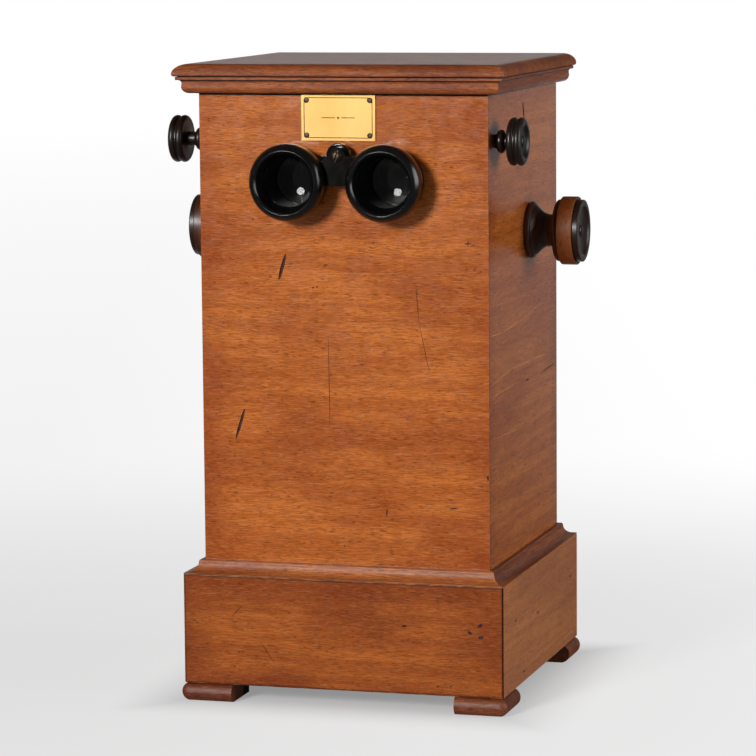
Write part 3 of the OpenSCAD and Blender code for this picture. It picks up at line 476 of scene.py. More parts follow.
def rounded(bm, edges, radius, steps, clamp=False):
    """Rounds these edges and returns the new faces."""
    return bmesh.ops.bevel(bm, geom=edges, offset=radius, segments=steps, profile=0.5,
                           affect="EDGES", material=-1, clamp_overlap=clamp)["faces"]


def joined(parts):
    """Several bmeshes as one."""
    whole = bmesh.new()
    for bm in parts:
        mesh = bpy.data.meshes.new("part")
        bm.to_mesh(mesh)
        bm.free()
        whole.from_mesh(mesh)
        bpy.data.meshes.remove(mesh)
    return whole


def as_object(bm, name, materials):
    """The bmesh as an object in the scene."""
    mesh = bpy.data.meshes.new(name)
    bm.to_mesh(mesh)
    bm.free()
    for material in materials:
        mesh.materials.append(material)
    made = bpy.data.objects.new(name, mesh)
    scene.collection.objects.link(made)
    return made


def finished(bm, name, material, body, node, sharp=35, flat=True):
    """Makes a piece of a bmesh: smooth shading with sharp corners, its body, and its CAD node
    hidden.
    Flat keeps large faces evenly shaded beside their small rounded edges."""
    piece = as_object(bm, name, material if isinstance(material, list) else [material])
    piece.data.shade_smooth()
    piece.data.set_sharp_from_angle(angle=math.radians(sharp))
    if flat:
        weighted = piece.modifiers.new("flat_faces", "WEIGHTED_NORMAL")
        weighted.keep_sharp = True
    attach(piece, body)
    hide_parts(node)


def carved(bm, cutters, finish=1):
    """The bmesh with the cutters taken out of it. The cut faces take the second material, or the
    one with the number given."""
    tool = joined(cutters)
    for face in tool.faces:
        face.material_index = finish
    solids = [as_object(part, "carving", [None] * (finish + 1)) for part in (bm, tool)]
    cut = solids[0].modifiers.new("cut", "BOOLEAN")
    cut.operation = "DIFFERENCE"
    cut.solver = "EXACT"
    cut.use_self = True
    cut.object = solids[1]
    shape = solids[0].evaluated_get(bpy.context.evaluated_depsgraph_get())
    result = bmesh.new()
    result.from_mesh(shape.to_mesh())
    shape.to_mesh_clear()
    for solid in solids:
        mesh = solid.data
        bpy.data.objects.remove(solid)
        bpy.data.meshes.remove(mesh)
    return result


def dent(on_face, outward, u0, z0, u1, z1, width, depth):
    """A cutter for a mark on an upright face, from one (sideways, up) point in mm to another: a
    ball stretched along the mark. The face is given by a point on it and the way that it looks."""
    sideways = Vector((abs(outward.y), abs(outward.x), 0))
    ends = [sideways * u * MM + Vector((0, 0, z * MM)) for u, z in ((u0, z0), (u1, z1))]
    along = ends[1] - ends[0]
    ways = Matrix((along.normalized(), outward.cross(along).normalized(), outward)).transposed()
    size = Matrix.Diagonal((along.length / 2, width / 2 * MM, depth * MM, 1))
    centre = (ends[0] + ends[1]) / 2 + on_face
    bm = bmesh.new()
    bmesh.ops.create_icosphere(bm, subdivisions=3, radius=1,
                               matrix=Matrix.Translation(centre) @ ways.to_4x4() @ size)
    return bm


def merged_copy(node):
    """A CAD node's solid as a bmesh with its triangles merged into plain faces."""
    flat = math.radians(1)
    bm = bmesh.new()
    bm.from_mesh(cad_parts[node].data)
    bmesh.ops.remove_doubles(bm, verts=bm.verts, dist=WELD)
    bmesh.ops.dissolve_limit(bm, angle_limit=flat, verts=bm.verts, edges=bm.edges)
    return bm


def rounded_edges(bm, ease, shortest=5):
    """Breaks every sharp edge of some length, as sanding does, and marks it as worn. The ease and
    the shortest length are in mm."""
    sharp = math.radians(30)
    wear = bm.faces.layers.float.new("wear")
    corners = [
        edge for edge in bm.edges
        if len(edge.link_faces) == 2
        and edge.calc_face_angle() > sharp
        and edge.calc_length() > shortest * MM
    ]
    for face in rounded(bm, corners, ease * MM, 2, clamp=True):
        face[wear] = 1.0
    return bm


# Finishes. The tones of a wood are its ground, bands, red blotches, pale flecks, dashes and pores.
BOARD = ("#bb682b", "#a5541e", "#8a3b16", "#d08848", "#7d3d14", "#4a1f0c")
PLINTH = ("#ab5b22", "#934818", "#742f12", "#bf7a42", "#64300f", "#351409")
# Paler, greyer tones for the plinth's sides: painted sheen, standing in for the gloss that greys
# them when seen at a low angle
PLINTH_SIDE_SHEEN = ("#c47841", "#b0683a", "#985736", "#d08848", "#8c5835", "#5a3018")
TRIM = ("#9c501e", "#7c3a12", "#6d2b0e", "#b3703a", "#56240c", "#301208")
STRIP = ("#b0622c", "#95501f", "#7c3614", "#c98a55", "#6a3412", "#3a170a")
FOOT = ("#86441d", "#642c11", "#57200c", "#9c6236", "#481a09", "#2a0f07")
board_x = polished_mahogany("mahogany_polished_across", "X", BOARD)
front_x = polished_mahogany("mahogany_front_polished", "X", BOARD, joints=UNDER_CORNICE,
                            edges="front_panel")
board_y = polished_mahogany("mahogany_polished_front_to_back", "Y", BOARD, gloss=0.24, contrast=0.8,
                            shift=0.31, stretch=3, joints=UNDER_CORNICE,
                            edges="right_side_panel", outlined=True)
board_z = polished_mahogany("mahogany_polished_upright", "Z", BOARD, shift=0.53)
plinth_x = polished_mahogany("mahogany_plinth_across", "X", PLINTH, contrast=0.85, shift=0.77,
                             edges="plinth_front", outlined=True)
# The plinth's sides, whose tones carry a painted sheen
plinth_y_sheen = polished_mahogany("mahogany_plinth_sides_painted_sheen", "Y", PLINTH_SIDE_SHEEN, gloss=0.26,
                             contrast=0.8, shift=0.93, stretch=3)
trim_x = polished_mahogany("mahogany_trim_across", "X", TRIM, gloss=0.66, contrast=1.1, shift=1.17,
                           ior=1.45, joints=JOINT_LINES, polished_top=LID_TOP)
trim_y = polished_mahogany("mahogany_trim_front_to_back", "Y", TRIM, gloss=0.46, contrast=1.1,
                           shift=1.41, stretch=3, ior=1.45, joints=JOINT_LINES)
strip_x = polished_mahogany("mahogany_base_strip_across", "X", STRIP, gloss=0.5, contrast=1.1,
                            shift=1.17, ior=1.45)
foot_x = polished_mahogany("mahogany_feet_dark", "X", FOOT, gloss=0.52, contrast=1.2, shift=1.63,
                           ior=1.45)
# Wood laid bare in dents and gouges: dull, darkened by old dirt
bruised = patchy_finish("mahogany_bruised", "#4a200c", "#2a1006", 1.5, (0.7, 0.85), ior=1.45)
# Paler wood seen through cracks in the polish
cracked = patchy_finish("mahogany_polish_cracked", "#d08a4c", "#bf7638", 6, (0.3, 0.4), ior=1.45)
black_wood = ebonised_wood("ebonised_wood_polished", "#0e0907", "#24140c")
rubbed_wood = ebonised_wood("ebonised_wood_rubbed", "#24130a", "#5c3018")
# Hard rubber, turned and polished: deep black with sharp highlights
ebonite = patchy_finish("ebonite_polished", "#070708", "#0d0c0c", 7, (0.18, 0.26))
# The lens mounts are blackened and left dull, so that they throw back no light
matt_black = patchy_finish("ebonite_matt", "#080808", "#0f0e0e", 3, (0.5, 0.62))
# Brass under a coat of black lacquer: a smooth black with bright, narrow highlights
black_brass = patchy_finish("brass_black_lacquered", "#070707", "#0f0c0a", 8, (0.1, 0.15))
# Lacquered brass sheet: an even satin gold, a little duller in patches
brass = patchy_finish("brass_lacquered", "#b28d56", "#ad874e", 24, (0.40, 0.44), metallic=1.0)
# Bare brass fittings: gold browned in small patches
aged_brass = patchy_finish("brass_aged", "#b98f4a", "#8a6430", 5, (0.3, 0.5), metallic=1.0)
# Blued steel screws, rusted brown in places, and bright turned steel for the shafts and pins
dark_steel = patchy_finish("steel_blued_slotted", "#3a2f28", "#5a4a3c", 1.2, (0.35, 0.55),
                           metallic=1.0)
steel = patchy_finish("steel_turned", "#a9abad", "#8d8f92", 4, (0.2, 0.35), metallic=1.0)
# Tinplate under black japan: a thin, slightly worn gloss
tin = patchy_finish("tinplate_black_japanned", "#171716", "#2a2926", 5, (0.35, 0.5))
lens_glass = flint_glass()
# Ground glass: a pale, milky sheet that lets light through
ground = patchy_finish("crown_glass_ground", "#b9bfbb", "#aab0ac", 1.0, (0.75, 0.9), ior=1.52,
                       clear=0.85)
slides = slide_glass()
# Black wax rubbed into the engraving
wax = patchy_finish("engraving_black_wax", "#17110c", "#2b2016", 1.0, (0.5, 0.7), ior=1.45)


# Marks of use on the faces that are seen most. For each piece: a point on its face, the way that
# the face looks, and the marks, in mm: sideways and up at each end, width and depth.
MARKS = {
    "front_board": (Vector((0, FRONT_Y, 0)), TO_FRONT, [
        (-38.5, 294, -43.5, 277, 2.3, 0.9), (-67.5, 193, -74, 172.5, 2.0, 0.8),
        (-10.5, 242, -10, 180, 0.4, 0.2), (48, 277, 50, 251, 0.4, 0.2),
        (50, 251, 57, 218, 0.4, 0.2), (-21, 272.5, -19.8, 272.5, 1.1, 0.4),
        (-18.3, 273, -17.1, 273, 1.1, 0.4), (-13, 287, -10.5, 287.5, 0.7, 0.4),
        (28, 130.5, 27.5, 125.5, 0.9, 0.5), (69.5, 132, 75, 132.5, 0.8, 0.4),
        (95, 154, 95, 151.5, 1.4, 0.9), (19.5, 302, 20.6, 302, 0.9, 0.4),
        (-61, 316, -59.8, 316, 0.9, 0.4), (-1.6, 105, -0.4, 105, 0.9, 0.4),
        (80, 302.5, 85, 302.5, 0.6, 0.3), (82.5, 304.5, 82.5, 300.5, 0.6, 0.3),
    ]),
    "plinth_board_front": (Vector((0, PLINTH_Y, 0)), TO_FRONT, [
        (90.5, 58, 94, 59.8, 2.2, 0.7), (84, 54.8, 87, 53.2, 2.1, 0.7),
        (91, 50.8, 94.5, 51.8, 2.0, 0.6), (40.5, 56.5, 43.5, 56.5, 1.6, 0.5),
        (63.5, 18, 65, 18, 0.9, 0.4), (72, 18.5, 73.5, 18.5, 0.9, 0.4),
        (-68, 64.5, -74.5, 57.5, 0.5, 0.25), (-55, 41.5, -46, 28, 0.5, 0.25),
        (-99, 52.5, -98, 52.5, 1.0, 0.4), (-64, 53, -63, 53, 1.0, 0.4),
        (-32, 46, -31, 46, 1.0, 0.4), (-73.5, 24.5, -72.5, 24.5, 1.0, 0.4),
        (-70.5, 34, -69.5, 34, 1.0, 0.4),
    ]),
    "right_side_board": (Vector((SIDE_X, 0, 0)), TO_RIGHT, [
        (-2, 388, 1.5, 376, 3.2, 1.2), (3, 203.4, 14, 202.9, 0.9, 0.3),
        (44, 202.9, 90, 204.9, 0.6, 0.3),
    ]),
    "plinth_board_right": (Vector((PLINTH_X, 0, 0)), TO_RIGHT, [
        (-13, 50.5, -9, 50.5, 1.5, 0.5), (-74, 56.5, -70, 56.5, 1.5, 0.5),
        (82, 58, 86, 58, 1.5, 0.5), (-52.5, 19, -48.5, 19, 1.5, 0.5),
    ]),
    "base_strip_right": (Vector((STRIP_X, 0, 0)), TO_RIGHT, [
        (22, 82, 26, 82, 1.5, 0.6), (-18, 82, -14, 82, 1.5, 0.6), (-70, 86, -66, 86, 1.5, 0.6),
    ]),
    "lid_board": (Vector((0, CORNICE_Y, 0)), TO_FRONT, [
        (-61, 408.2, -59, 408.2, 1.4, 0.9), (-44.5, 408.2, -42.5, 408.2, 1.4, 0.9),
    ]),
}
SIDE_CRACKS = (Vector((SIDE_X, 0, 0)), TO_RIGHT, [
    (-88, 243.2, -56, 242.2, 0.8, 0.06), (-62, 242, -14, 244.4, 0.6, 0.05),
    (-16, 244.2, 54, 250.8, 0.5, 0.05), (-88, 211.6, -32, 216, 0.7, 0.06),
    (-34, 216, 27, 215, 0.7, 0.06), (24, 215.4, 60, 214.2, 0.7, 0.06),
    (-88, 203.6, -16, 205, 0.6, 0.05), (-84, 176.2, -20, 174, 0.5, 0.05),
])


def marks(on_face, outward, rows):
    return [dent(on_face, outward, *row) for row in rows]


def open_mitre():
    """A cutter for the shrunken mitre at the plinth's right front corner: a thin upright slot."""
    low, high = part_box("plinth_front")
    gap, depth, past_ends = 0.9 * MM, 1.8 * MM, 1.1
    size = (gap, depth * 2, (high.z - low.z) * past_ends)
    return block(size, (PLINTH_X, PLINTH_Y, (low.z + high.z) / 2), 45)


# Cabinet boards, mouldings and lid: the CAD solids with their edges broken and marks cut in
def board_rows():
    """Each board's name, CAD node, finish and slot, and how far its edges are broken, in mm."""
    rows = [
        ("front_board", "front_panel", front_x, "case_wood", 0.4),
        ("left_side_board", "left_side_panel", board_y, "case_wood", 0.4),
        ("right_side_board", "right_side_panel", board_y, "case_wood", 0.4),
        ("back_upper_rail", "back_top_rail", board_x, "case_wood", 0.5),
        ("back_lower_rail", "back_bottom_rail", board_x, "case_wood", 0.5),
    ]
    for name, node, along_x, along_y, slot, ease, sides in (
        ("plinth_board", "plinth", plinth_x, plinth_y_sheen, "case_wood", 0.6, ["front", "back"]),
        ("base_strip", "base_moulding", strip_x, trim_y, "trim_wood", 0.4, ["front", "back"]),
        ("cornice_strip", "cornice", trim_x, trim_y, "trim_wood", 0.4, ["front"]),
    ):
        for side in sides + ["left", "right"]:
            finish = along_x if side in sides else along_y
            rows.append((f"{name}_{side}", f"{node}_{side}", finish, slot, ease))
    return rows


def add_boards():
    for name, node, finish, slot, ease in board_rows():
        bm = rounded_edges(merged_copy(node), ease)
        finishes = [finish, bruised]
        cutters = marks(*MARKS[name]) if name in MARKS else []
        if name in ("plinth_board_front", "plinth_board_right"):
            cutters.append(open_mitre())
        if cutters:
            bm = carved(bm, cutters)
        if name == "right_side_board":
            bm = carved(bm, marks(*SIDE_CRACKS), finish=2)
            finishes.append(cracked)
        finished(bm, name, finishes, "cabinet", node)


def add_door_boards():
    for name, node, finish in (
        ("door_upright_stiles", "door_stiles", board_z),
        ("door_cross_rails", "door_rails", board_x),
        ("door_wood_panel", "door_panel", board_z),
    ):
        bm = rounded_edges(merged_copy(node), 0.5)
        finished(bm, name, finish, "rear_door", node)


def add_lid():
    """The lid's two front corners are rounded over, and its edges broken."""
    corner_round = 4 * MM
    bm = merged_copy("lid_slab")
    low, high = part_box("lid_slab")
    ridges = [
        edge for edge in bm.edges
        if all(abs((high.x - abs(v.co.x)) - (v.co.y - low.y)) < NEAR_ZERO for v in edge.verts)
    ]
    rounded(bm, ridges, corner_round, 6, clamp=True)
    bm = carved(rounded_edges(bm, 0.5), marks(*MARKS["lid_board"]))
    finished(bm, "lid_board", [trim_x, bruised], "lid", "lid_slab")


# Feet: a block at each corner with its two outer sides and its outer corner rounded
FOOT_CORNER = 5 * MM


def foot_block(side_x, side_y):
    low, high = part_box("feet")
    size = Vector((35 * MM, 38 * MM, high.z - low.z))
    bullnose = size.z * 0.48
    outer = Vector((high.x * side_x, high.y * side_y, 0))
    bm = block(size, outer - Vector((side_x * size.x, side_y * size.y, -size.z)) / 2)
    corner = [
        edge for edge in bm.edges
        if all((v.co.xy - outer.xy).length < MM for v in edge.verts)
    ]
    rounded(bm, corner, FOOT_CORNER, 5)
    rims = [
        edge for edge in bm.edges
        if abs(edge.verts[0].co.z - edge.verts[1].co.z) < NEAR_ZERO
        and all(on_outer_rim(v.co, outer, side_x, side_y) for v in edge.verts)
        and edge.calc_face_angle() > math.radians(45)
    ]
    rounded(bm, rims, bullnose, 6)
    return bm


def on_outer_rim(point, outer, side_x, side_y):
    """True on the rim of a foot's outer sides, its rounded corner included."""
    in_x = (outer.x - point.x) * side_x
    in_y = (outer.y - point.y) * side_y
    return min(in_x, in_y) < NEAR_ZERO or max(in_x, in_y) < FOOT_CORNER


def add_feet():
    blocks = [foot_block(side_x, side_y) for side_x in (-1, 1) for side_y in (-1, 1)]
    finished(joined(blocks), "corner_feet", foot_x, "cabinet", "feet", sharp=50)


# Eyepieces. Profiles are points of radius and distance before the front board, in mm; a third value
# is how far that corner is rounded.
def add_eyecups():
    """A flared cup whose front runs up to a narrow crest, with a funnel inside down to the lens."""
    profile = [
        (20.05, 8.5), (21.8, 8.5, 0.3),
        *arc((21.8, 17.5), (3.0, 9.0), -80, 0),
        *arc((17.5, 17.5), (7.3, 7.6), 6, 62),
        (20.4, 24.5, 0.25), (18.8, 22.9, 0.9), (16.2, 13.8, 0.3), (16.0, 12.0), (20.05, 12.0),
    ]
    for name, node, side in (("left_cup", "eyecup_left", -1), ("right_cup", "eyecup_right", 1)):
        bm = turned(profile, Vector((side * EYE_X, FRONT_Y, EYE_Z)), TO_FRONT, steps=144)
        finished(bm, name, ebonite, "eyepieces", node, flat=False)


def add_lenses():
    """Each lens has two shallow domes; the ring in front of it has a bead that holds it."""
    dome, dome_edge, rim = 96.7, 15.8, 17.5
    half = math.degrees(math.asin(dome_edge / dome))
    lens = [
        *arc((0, -16.3 + dome), (dome, dome), -90, half - 90, 20), (rim, -15), (rim, -12),
        *arc((0, -10.7 - dome), (dome, dome), 90 - half, 90, 20),
    ]
    ring = [(16.0, 12.0), (rim, 12.0), (rim, -12.0), (15.9, -12.0, 0.2), (15.5, -11.0, 0.4),
            (16.0, -9.6, 0.4)]
    feet = [Vector((side * EYE_X, FRONT_Y, EYE_Z)) for side in (-1, 1)]
    finished(joined([turned(lens, foot, TO_FRONT, steps=160) for foot in feet]), "eyepiece_lenses",
             lens_glass, "eyepieces", "eye_lenses", flat=False)
    finished(joined([turned(ring, foot, TO_FRONT) for foot in feet]), "eyepiece_lens_rings",
             matt_black, "eyepieces", "lens_rings")


def slotted_head(place, axis, radius, height, slot_w, turn):
    """A round-topped screw head with a slot, turned about its own axis."""
    slot_floor, half_slot = height * 0.35 * MM, slot_w / 2 * MM
    bm = turned([(0, 0), (radius, 0), (radius, height * 0.45, height * 0.3),
                 (radius * 0.55, height * 0.93, height * 0.3), (0, height)],
                Vector(), UP, steps=40)
    for side in (-half_slot, half_slot):
        bmesh.ops.bisect_plane(bm, geom=bm.verts[:] + bm.edges[:] + bm.faces[:],
                               plane_co=(side, 0, 0), plane_no=(1, 0, 0))
    bm.normal_update()
    top = [
        face for face in bm.faces
        if abs(face.calc_center_median().x) < half_slot and face.normal.z > 0.2
    ]
    sunk = bmesh.ops.extrude_face_region(bm, geom=top, use_keep_orig=True)
    for item in sunk["geom"]:
        if isinstance(item, bmesh.types.BMVert):
            item.co.z = slot_floor
    bmesh.ops.delete(bm, geom=top, context="FACES")
    way = UP.rotation_difference(axis).to_matrix().to_4x4()
    matrix = Matrix.Translation(place) @ way @ Matrix.Rotation(math.radians(turn), 4, "Z")
    bmesh.ops.transform(bm, matrix=matrix, verts=bm.verts)
    return bm


def add_bridge():
    """The bridge with a stepped boss behind its slotted screw."""
    head_foot = 13 * MM
    on_board = Vector((0, FRONT_Y, BRIDGE_SCREW.z))
    bm = rounded_edges(merged_copy("eyepiece_bridge"), 0.35, shortest=1.2)
    boss = turned([(5.0, 8.4), (8.0, 8.4), (8.0, 9.3, 0.4), (7.0, 9.7, 0.4), (6.6, 9.0, 0.2),
                   (5.0, 9.0)], on_board, TO_FRONT, steps=72)
    finished(joined([bm, boss]), "eyepiece_bridge_arm", black_brass, "eyepieces",
             "eyepiece_bridge")
    shank = turned([(0, 0), (1.8, 0), (1.8, 13.2), (0, 13.2)], on_board, TO_FRONT, steps=32)
    head = slotted_head(on_board + TO_FRONT * head_foot, TO_FRONT, 3.7, 2.0, 0.9, -14)
    finished(joined([shank, head]), "eyepiece_bridge_screw", dark_steel, "eyepieces",
             "bridge_screw")


# Label plate: an engraved border round a bare field with a plain rule and a lozenge
ENGRAVED = 0.2 * MM


def engraved_bar(width, height, turn, place):
    """A cutter for a straight engraved line or a lozenge on the plate's face."""
    return block((width * MM, ENGRAVED * 2, height * MM), place, turn, "Y")


def engraved_border(centre):
    """A cutter for a line round the plate with rounded corners: a circle pulled out to the four
    corners, inset and given depth."""
    inset, corner, line, segments = 1.9 * MM, 2.6 * MM, 0.5 * MM, 32
    half = (PLATE_HIGH - PLATE_LOW) / 2
    bm = bmesh.new()
    half_step = Matrix.Rotation(math.pi / segments, 4, "Z")
    bmesh.ops.create_circle(bm, cap_ends=True, segments=segments, radius=corner, matrix=half_step)
    for vert in bm.verts:
        vert.co.x += math.copysign(half.x - inset - corner, vert.co.x)
        vert.co.y += math.copysign(half.z - inset - corner, vert.co.y)
    bm.normal_update()
    field = bm.faces[:]
    ring = bmesh.ops.inset_region(bm, faces=field, thickness=line, use_boundary=True,
                                  use_even_offset=True)["faces"]
    bmesh.ops.delete(bm, geom=field, context="FACES")
    sunk = bmesh.ops.extrude_face_region(bm, geom=ring)["geom"]
    walls = [item for item in sunk if isinstance(item, bmesh.types.BMVert)]
    bmesh.ops.translate(bm, vec=(0, 0, ENGRAVED * 2), verts=walls)
    bmesh.ops.recalc_face_normals(bm, faces=bm.faces)
    bmesh.ops.translate(bm, vec=(0, 0, -ENGRAVED), verts=bm.verts)
    bmesh.ops.rotate(bm, matrix=Matrix.Rotation(math.radians(90), 3, "X"), verts=bm.verts)
    bmesh.ops.translate(bm, vec=centre, verts=bm.verts)
    return bm


def add_plate():
    rim_round, rule_aside = 0.25 * MM, Vector((6.6 * MM, 0, 0))
    plate_middle = middle("label_plate")
    centre = Vector((plate_middle.x, PLATE_LOW.y, plate_middle.z))
    bm = block(PLATE_HIGH - PLATE_LOW, plate_middle)
    rim = [edge for edge in bm.edges if all(v.co.y < PLATE_LOW.y + NEAR_ZERO for v in edge.verts)]
    rounded(bm, rim, rim_round, 2)
    cutters = [engraved_border(centre), engraved_bar(1.4, 1.4, 45, centre)]
    cutters += [engraved_bar(9, 0.5, 0, centre + way) for way in (-rule_aside, rule_aside)]
    finished(carved(bm, cutters), "brass_plate", [brass, wax], "cabinet", "label_plate")


def add_plate_screws():
    inset = 3.7 * MM
    heads = []
    for x, turn in ((PLATE_LOW.x + inset, 35), (PLATE_HIGH.x - inset, -20)):
        for z, more in ((PLATE_LOW.z + inset, 0), (PLATE_HIGH.z - inset, 50)):
            place = Vector((x, PLATE_LOW.y, z))
            heads.append(slotted_head(place, TO_FRONT, 1.8, 0.6, 0.45, turn + more))
            heads.append(turned([(0, -5), (0.8, -5), (0.8, 0.1), (0, 0.1)], place, TO_FRONT, 16))
    finished(joined(heads), "brass_plate_screws", dark_steel, "cabinet", "label_screws")


# Knobs. Profiles are points of radius and distance from the side or door, in mm, as above.
def focus_profile(out):
    """Two beads round a dished face, on a neck with a bead; out is the reach from the side."""
    rim, bead, neck = 15.3, 2.4, 4.5
    edge = rim - bead
    back = out - 4 * bead
    return [
        (0, 16.3), (2.55, 16.3), (2.55, 0.3), (neck, 0.3), (neck, 2.0, 0.3),
        *arc((neck, 4.6), (3.0, 2.6), -80, 80, 8), (neck, 7.4, 0.3),
        (neck, back - 0.4, 0.8), (edge - 2, back, 0.8),
        *arc((edge, out - 3 * bead), (bead, bead), -85, 65),
        *arc((edge, out - bead), (bead, bead), -65, 85),
        (edge - 2, out, 0.6), (edge - 3.6, out - 1.5, 0.8), (4.6, out - 1.3, 0.6),
        *arc((0, out - 1.4), (4.0, 1.2), 5, 90, 6),
    ]


def drive_profile(out):
    """A flange, a hollow neck, and a wheel with a bead behind its rim and a step before it."""
    wheel = out - WHEEL_W
    band_r = WHEEL_R - BAND_DROP
    bead = BAND_W / 2
    ring = WHEEL_R - 6
    return [
        (0, 29.1), (4.05, 29.1), (4.05, 0.3), (FLANGE_R - 1, 0.3),
        *arc((FLANGE_R - 1, 2.1), (1, 1.8), -85, 85, 8),
        (FLANGE_R - 1.6, 4.4, 0.3), (FLANGE_R - 3.1, 6.2, 1.5), (NECK_R + 1.4, 9.6, 2.0),
        (NECK_R, 13.0, 1.5), (NECK_R, wheel - 1.5, 0.5), (NECK_R + 2, wheel, 0.5),
        *arc((band_r - bead, wheel + bead), (bead, bead), -85, 85, 10),
        (WHEEL_R, wheel + BAND_W, 0.7), (WHEEL_R, out - BAND_W, 0.7),
        (band_r, out - BAND_W), (band_r, out, 0.7), (ring, out, 0.4),
        (ring - 1.2, out - 1.2, 0.5), (5, out - 2.0, 0.6),
        *arc((0, out - 2.0), (4.0, 1.2), 5, 90, 6),
    ]


def add_side_knobs():
    for kind, centre, profile, finish in (
        ("focus", FOCUS, focus_profile, black_wood),
        ("drive", DRIVE, drive_profile, rubbed_wood),
    ):
        for side, way in (("left", TO_LEFT), ("right", TO_RIGHT)):
            node = f"{kind}_knob_{side}"
            foot = Vector((way.x * SIDE_X, centre.y, centre.z))
            bm = turned(profile(reach(node)), foot, way)
            finished(bm, f"{side}_{kind}_knob", finish, kind, node)


def add_door_knob():
    out, ball_r, ball_half, stem = 22.0, 8.0, 5.6, 3.6
    profile = [
        (0, 0), (6.4, 0), (6.4, 2, 0.5), (stem, 3.5, 0.8), (stem, out - 10.4, 0.8),
        *arc((0, out - ball_half), (ball_r, ball_half), -45, 90, 14),
    ]
    foot = Vector((DOOR_KNOB.x, BACK_Y, DOOR_KNOB.z))
    finished(turned(profile, foot, TO_BACK, steps=72), "door_pull_knob", aged_brass, "rear_door",
             "door_knob")


# Hinges: eased leaves with two slotted screws in each
def leaf_screws(node, along, from_edge, edge_way):
    """Screw heads for a pair of leaves. Along is the pins' axis, and the middle of a leaf lies some
    way in from the edge of the node's box on the other axis."""
    half_length, apart, leaf_t = 15 * MM, 8.5 * MM, 1.2 * MM
    across = 2 - along
    low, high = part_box(node)
    edge = low[across] + from_edge * MM if edge_way < 0 else high[across] - from_edge * MM
    heads = []
    for middle_of_leaf in (low[along] + half_length, high[along] - half_length):
        for step, turn in ((-apart, 20), (apart, 75)):
            place = Vector((0, BACK_Y + leaf_t, 0))
            place[along] = middle_of_leaf + step
            place[across] = edge
            heads.append(slotted_head(place, TO_BACK, 1.9, 0.8, 0.5, turn))
    return heads


def add_hinges():
    for name, node, body, along, from_edge, edge_way in (
        ("lid_hinge_lower_leaves", "lid_hinge_case_leaves", "cabinet", 0, 3.5, -1),
        ("lid_hinge_upper_leaves", "lid_hinge_lid_leaves", "lid", 0, 2.5, 1),
        ("door_hinge_fixed_leaves", "door_hinge_case_leaves", "cabinet", 2, 3.5, -1),
        ("door_hinge_moving_leaves", "door_hinge_door_leaves", "rear_door", 2, 3.5, 1),
    ):
        bm = rounded_edges(merged_copy(node), 0.2, shortest=3)
        screws = leaf_screws(node, along, from_edge, edge_way)
        finished(joined([bm, *screws]), name, aged_brass, body, node)


# Floor and backdrop
def seen_background(tree, place):
    """Whether a ray shows the background, and how bright that is: white to the camera, and in
    reflections and glass white where the backdrop stands, behind the object and left of it, and
    the grey of the room elsewhere."""
    room = 0.06
    path = add(tree, "LightPath")
    way = add(tree, "VectorMath", [place], operation="NORMALIZE")
    part = add(tree, "SeparateXYZ", [way])
    share = 1.0
    for axis, low, high in (("X", 0.30, 0.02), ("Y", 0.3, 0.75), ("Z", 0.36, 0.08)):
        step = add(tree, "MapRange", [part.outputs[axis], low, high])
        share = add(tree, "Math", [step, share], operation="MULTIPLY")
    mirror = add(tree, "Math", [path.outputs["Is Glossy Ray"], path.outputs["Is Transmission Ray"]],
                 operation="MAXIMUM")
    to_camera = path.outputs["Is Camera Ray"]
    seen = add(tree, "Math", [mirror, to_camera], operation="MAXIMUM")
    mirrored = add(tree, "MapRange", [share, 0.0, 1.0, room])
    bright = add(tree, "Math", [mirrored, to_camera], operation="MAXIMUM")
    return seen, bright


def add_world():
    """The white backdrop, and a weak grey light from all round."""
    ambient = 0.035
    world = bpy.data.worlds.new("studio")
    scene.world = world
    world.use_nodes = True
    tree = world.node_tree
    tree.nodes.clear()
    seen, bright = seen_background(tree, add(tree, "TexCoord").outputs["Generated"])
    colour = add(tree, "Mix", {0: seen, 2: ambient, 3: bright}, data_type="FLOAT")
    sky = add(tree, "Background", {"Color": colour, "Strength": 1.0})
    add(tree, "OutputWorld", [sky])


def plain_white(tree, place, distance):
    """The share of plain white. It grows away from the object's foot, so the shadow there stays."""
    outline = add(tree, "VectorMath", [place], operation="ABSOLUTE")
    beyond = add(tree, "VectorMath", [outline, (PLINTH_X, -PLINTH_Y, 0)], operation="SUBTRACT")
    part = add(tree, "SeparateXYZ", [beyond])
    clear = add(tree, "Math", [part.outputs["X"], part.outputs["Y"]], operation="MAXIMUM")
    near = add(tree, "MapRange", [clear, -0.03, 0.05, 0.3, 0.76], interpolation_type="SMOOTHSTEP")
    open_floor = add(tree, "MapRange", [distance, 0.2, 1.1], interpolation_type="SMOOTHSTEP")
    return add(tree, "Mix", {0: open_floor, 2: near, 3: 1.0}, data_type="FLOAT")


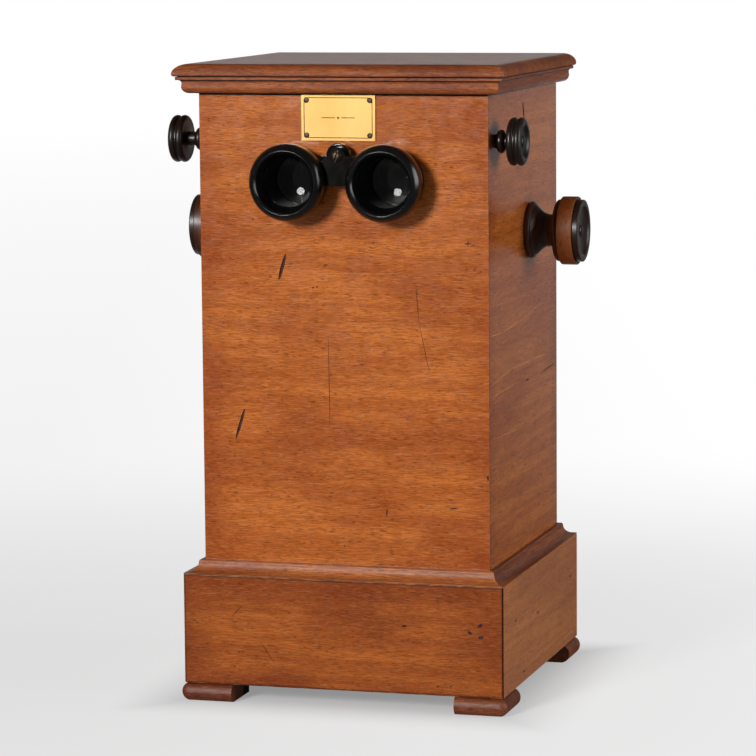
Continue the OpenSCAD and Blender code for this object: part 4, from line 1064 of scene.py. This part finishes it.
def white_level(tree, place, distance):
    """How bright that white is: near the object the left is painted a little greyer, as painted
    shade, and far away the floor meets the white backdrop."""
    facing = add(tree, "Mapping", {"Vector": place, "Rotation": (0, 0, -math.radians(VIEW_AZIMUTH))})
    across = add(tree, "SeparateXYZ", [facing]).outputs["X"]
    # Painted shade: the floor's glow is made greyer towards the left
    sideways = add(tree, "MapRange", [across, -0.34, 0.34, 0.87])
    far_off = add(tree, "MapRange", [distance, 0.2, 6.5])
    return add(tree, "Mix", {0: far_off, 2: sideways, 3: 1.0}, data_type="FLOAT")


# Pale paper: matt, with a grain that hardly shows
def floor_paper():
    material, tree, place = new_material("floor_paper_pale")
    seen, bright = seen_background(tree, place)
    distance = add(tree, "VectorMath", [place], operation="LENGTH")
    grain = add(tree, "TexNoise", {"Vector": place, "Scale": 1 / (3 * MM), "Detail": 2.0})
    paper = add(tree, "Mix", {0: grain, 6: srgb("#c4c4c5"), 7: srgb("#c9c9c9")}, data_type="RGBA")
    lit = add(tree, "BsdfDiffuse", {"Color": paper})
    level = white_level(tree, place, distance)
    strength = add(tree, "Math", [level, bright], operation="MULTIPLY")
    white = add(tree, "Emission", {"Color": (1, 1, 1, 1), "Strength": strength})
    share = plain_white(tree, place, distance)
    shown = add(tree, "Math", [seen, share], operation="MULTIPLY")
    mixed = add(tree, "MixShader", [shown, lit, white])
    add(tree, "OutputMaterial", [mixed])
    return material


def add_floor():
    """A pale round floor that keeps the shadow near the object and turns white with distance."""
    bm = bmesh.new()
    bmesh.ops.create_circle(bm, cap_ends=True, segments=64, radius=12)
    floor = as_object(bm, "floor", [floor_paper()])


# Pieces inside the cabinet keep their CAD shapes
def finish_inner_pieces():
    rows = {
        board_x: ["floor_board", "drive_drum", "guide_roller"],
        tin: ["top_carriers", "front_carriers", "rear_carriers", "lower_carriers"],
        slides: ["top_slides", "front_slides", "rear_slides", "lower_slides"],
        steel: ["focus_shaft", "drive_shaft", "hinge_pins"],
        aged_brass: ["eyepiece_sleeves", "focus_bushes", "drive_bushes", "focus_pinion",
                     "rack_bar"],
        ebonite: ["eyepiece_tubes"],
        black_wood: ["septum"],
        ground: ["ground_glass"],
    }
    for finish, nodes in rows.items():
        for node in nodes:
            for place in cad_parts[node].material_slots:
                place.material = finish


add_camera()
add_world()
add_floor()
add_lamps()
add_boards()
add_door_boards()
add_lid()
add_feet()
add_eyecups()
add_lenses()
add_bridge()
add_plate()
add_plate_screws()
add_side_knobs()
add_door_knob()
add_hinges()
finish_inner_pieces()
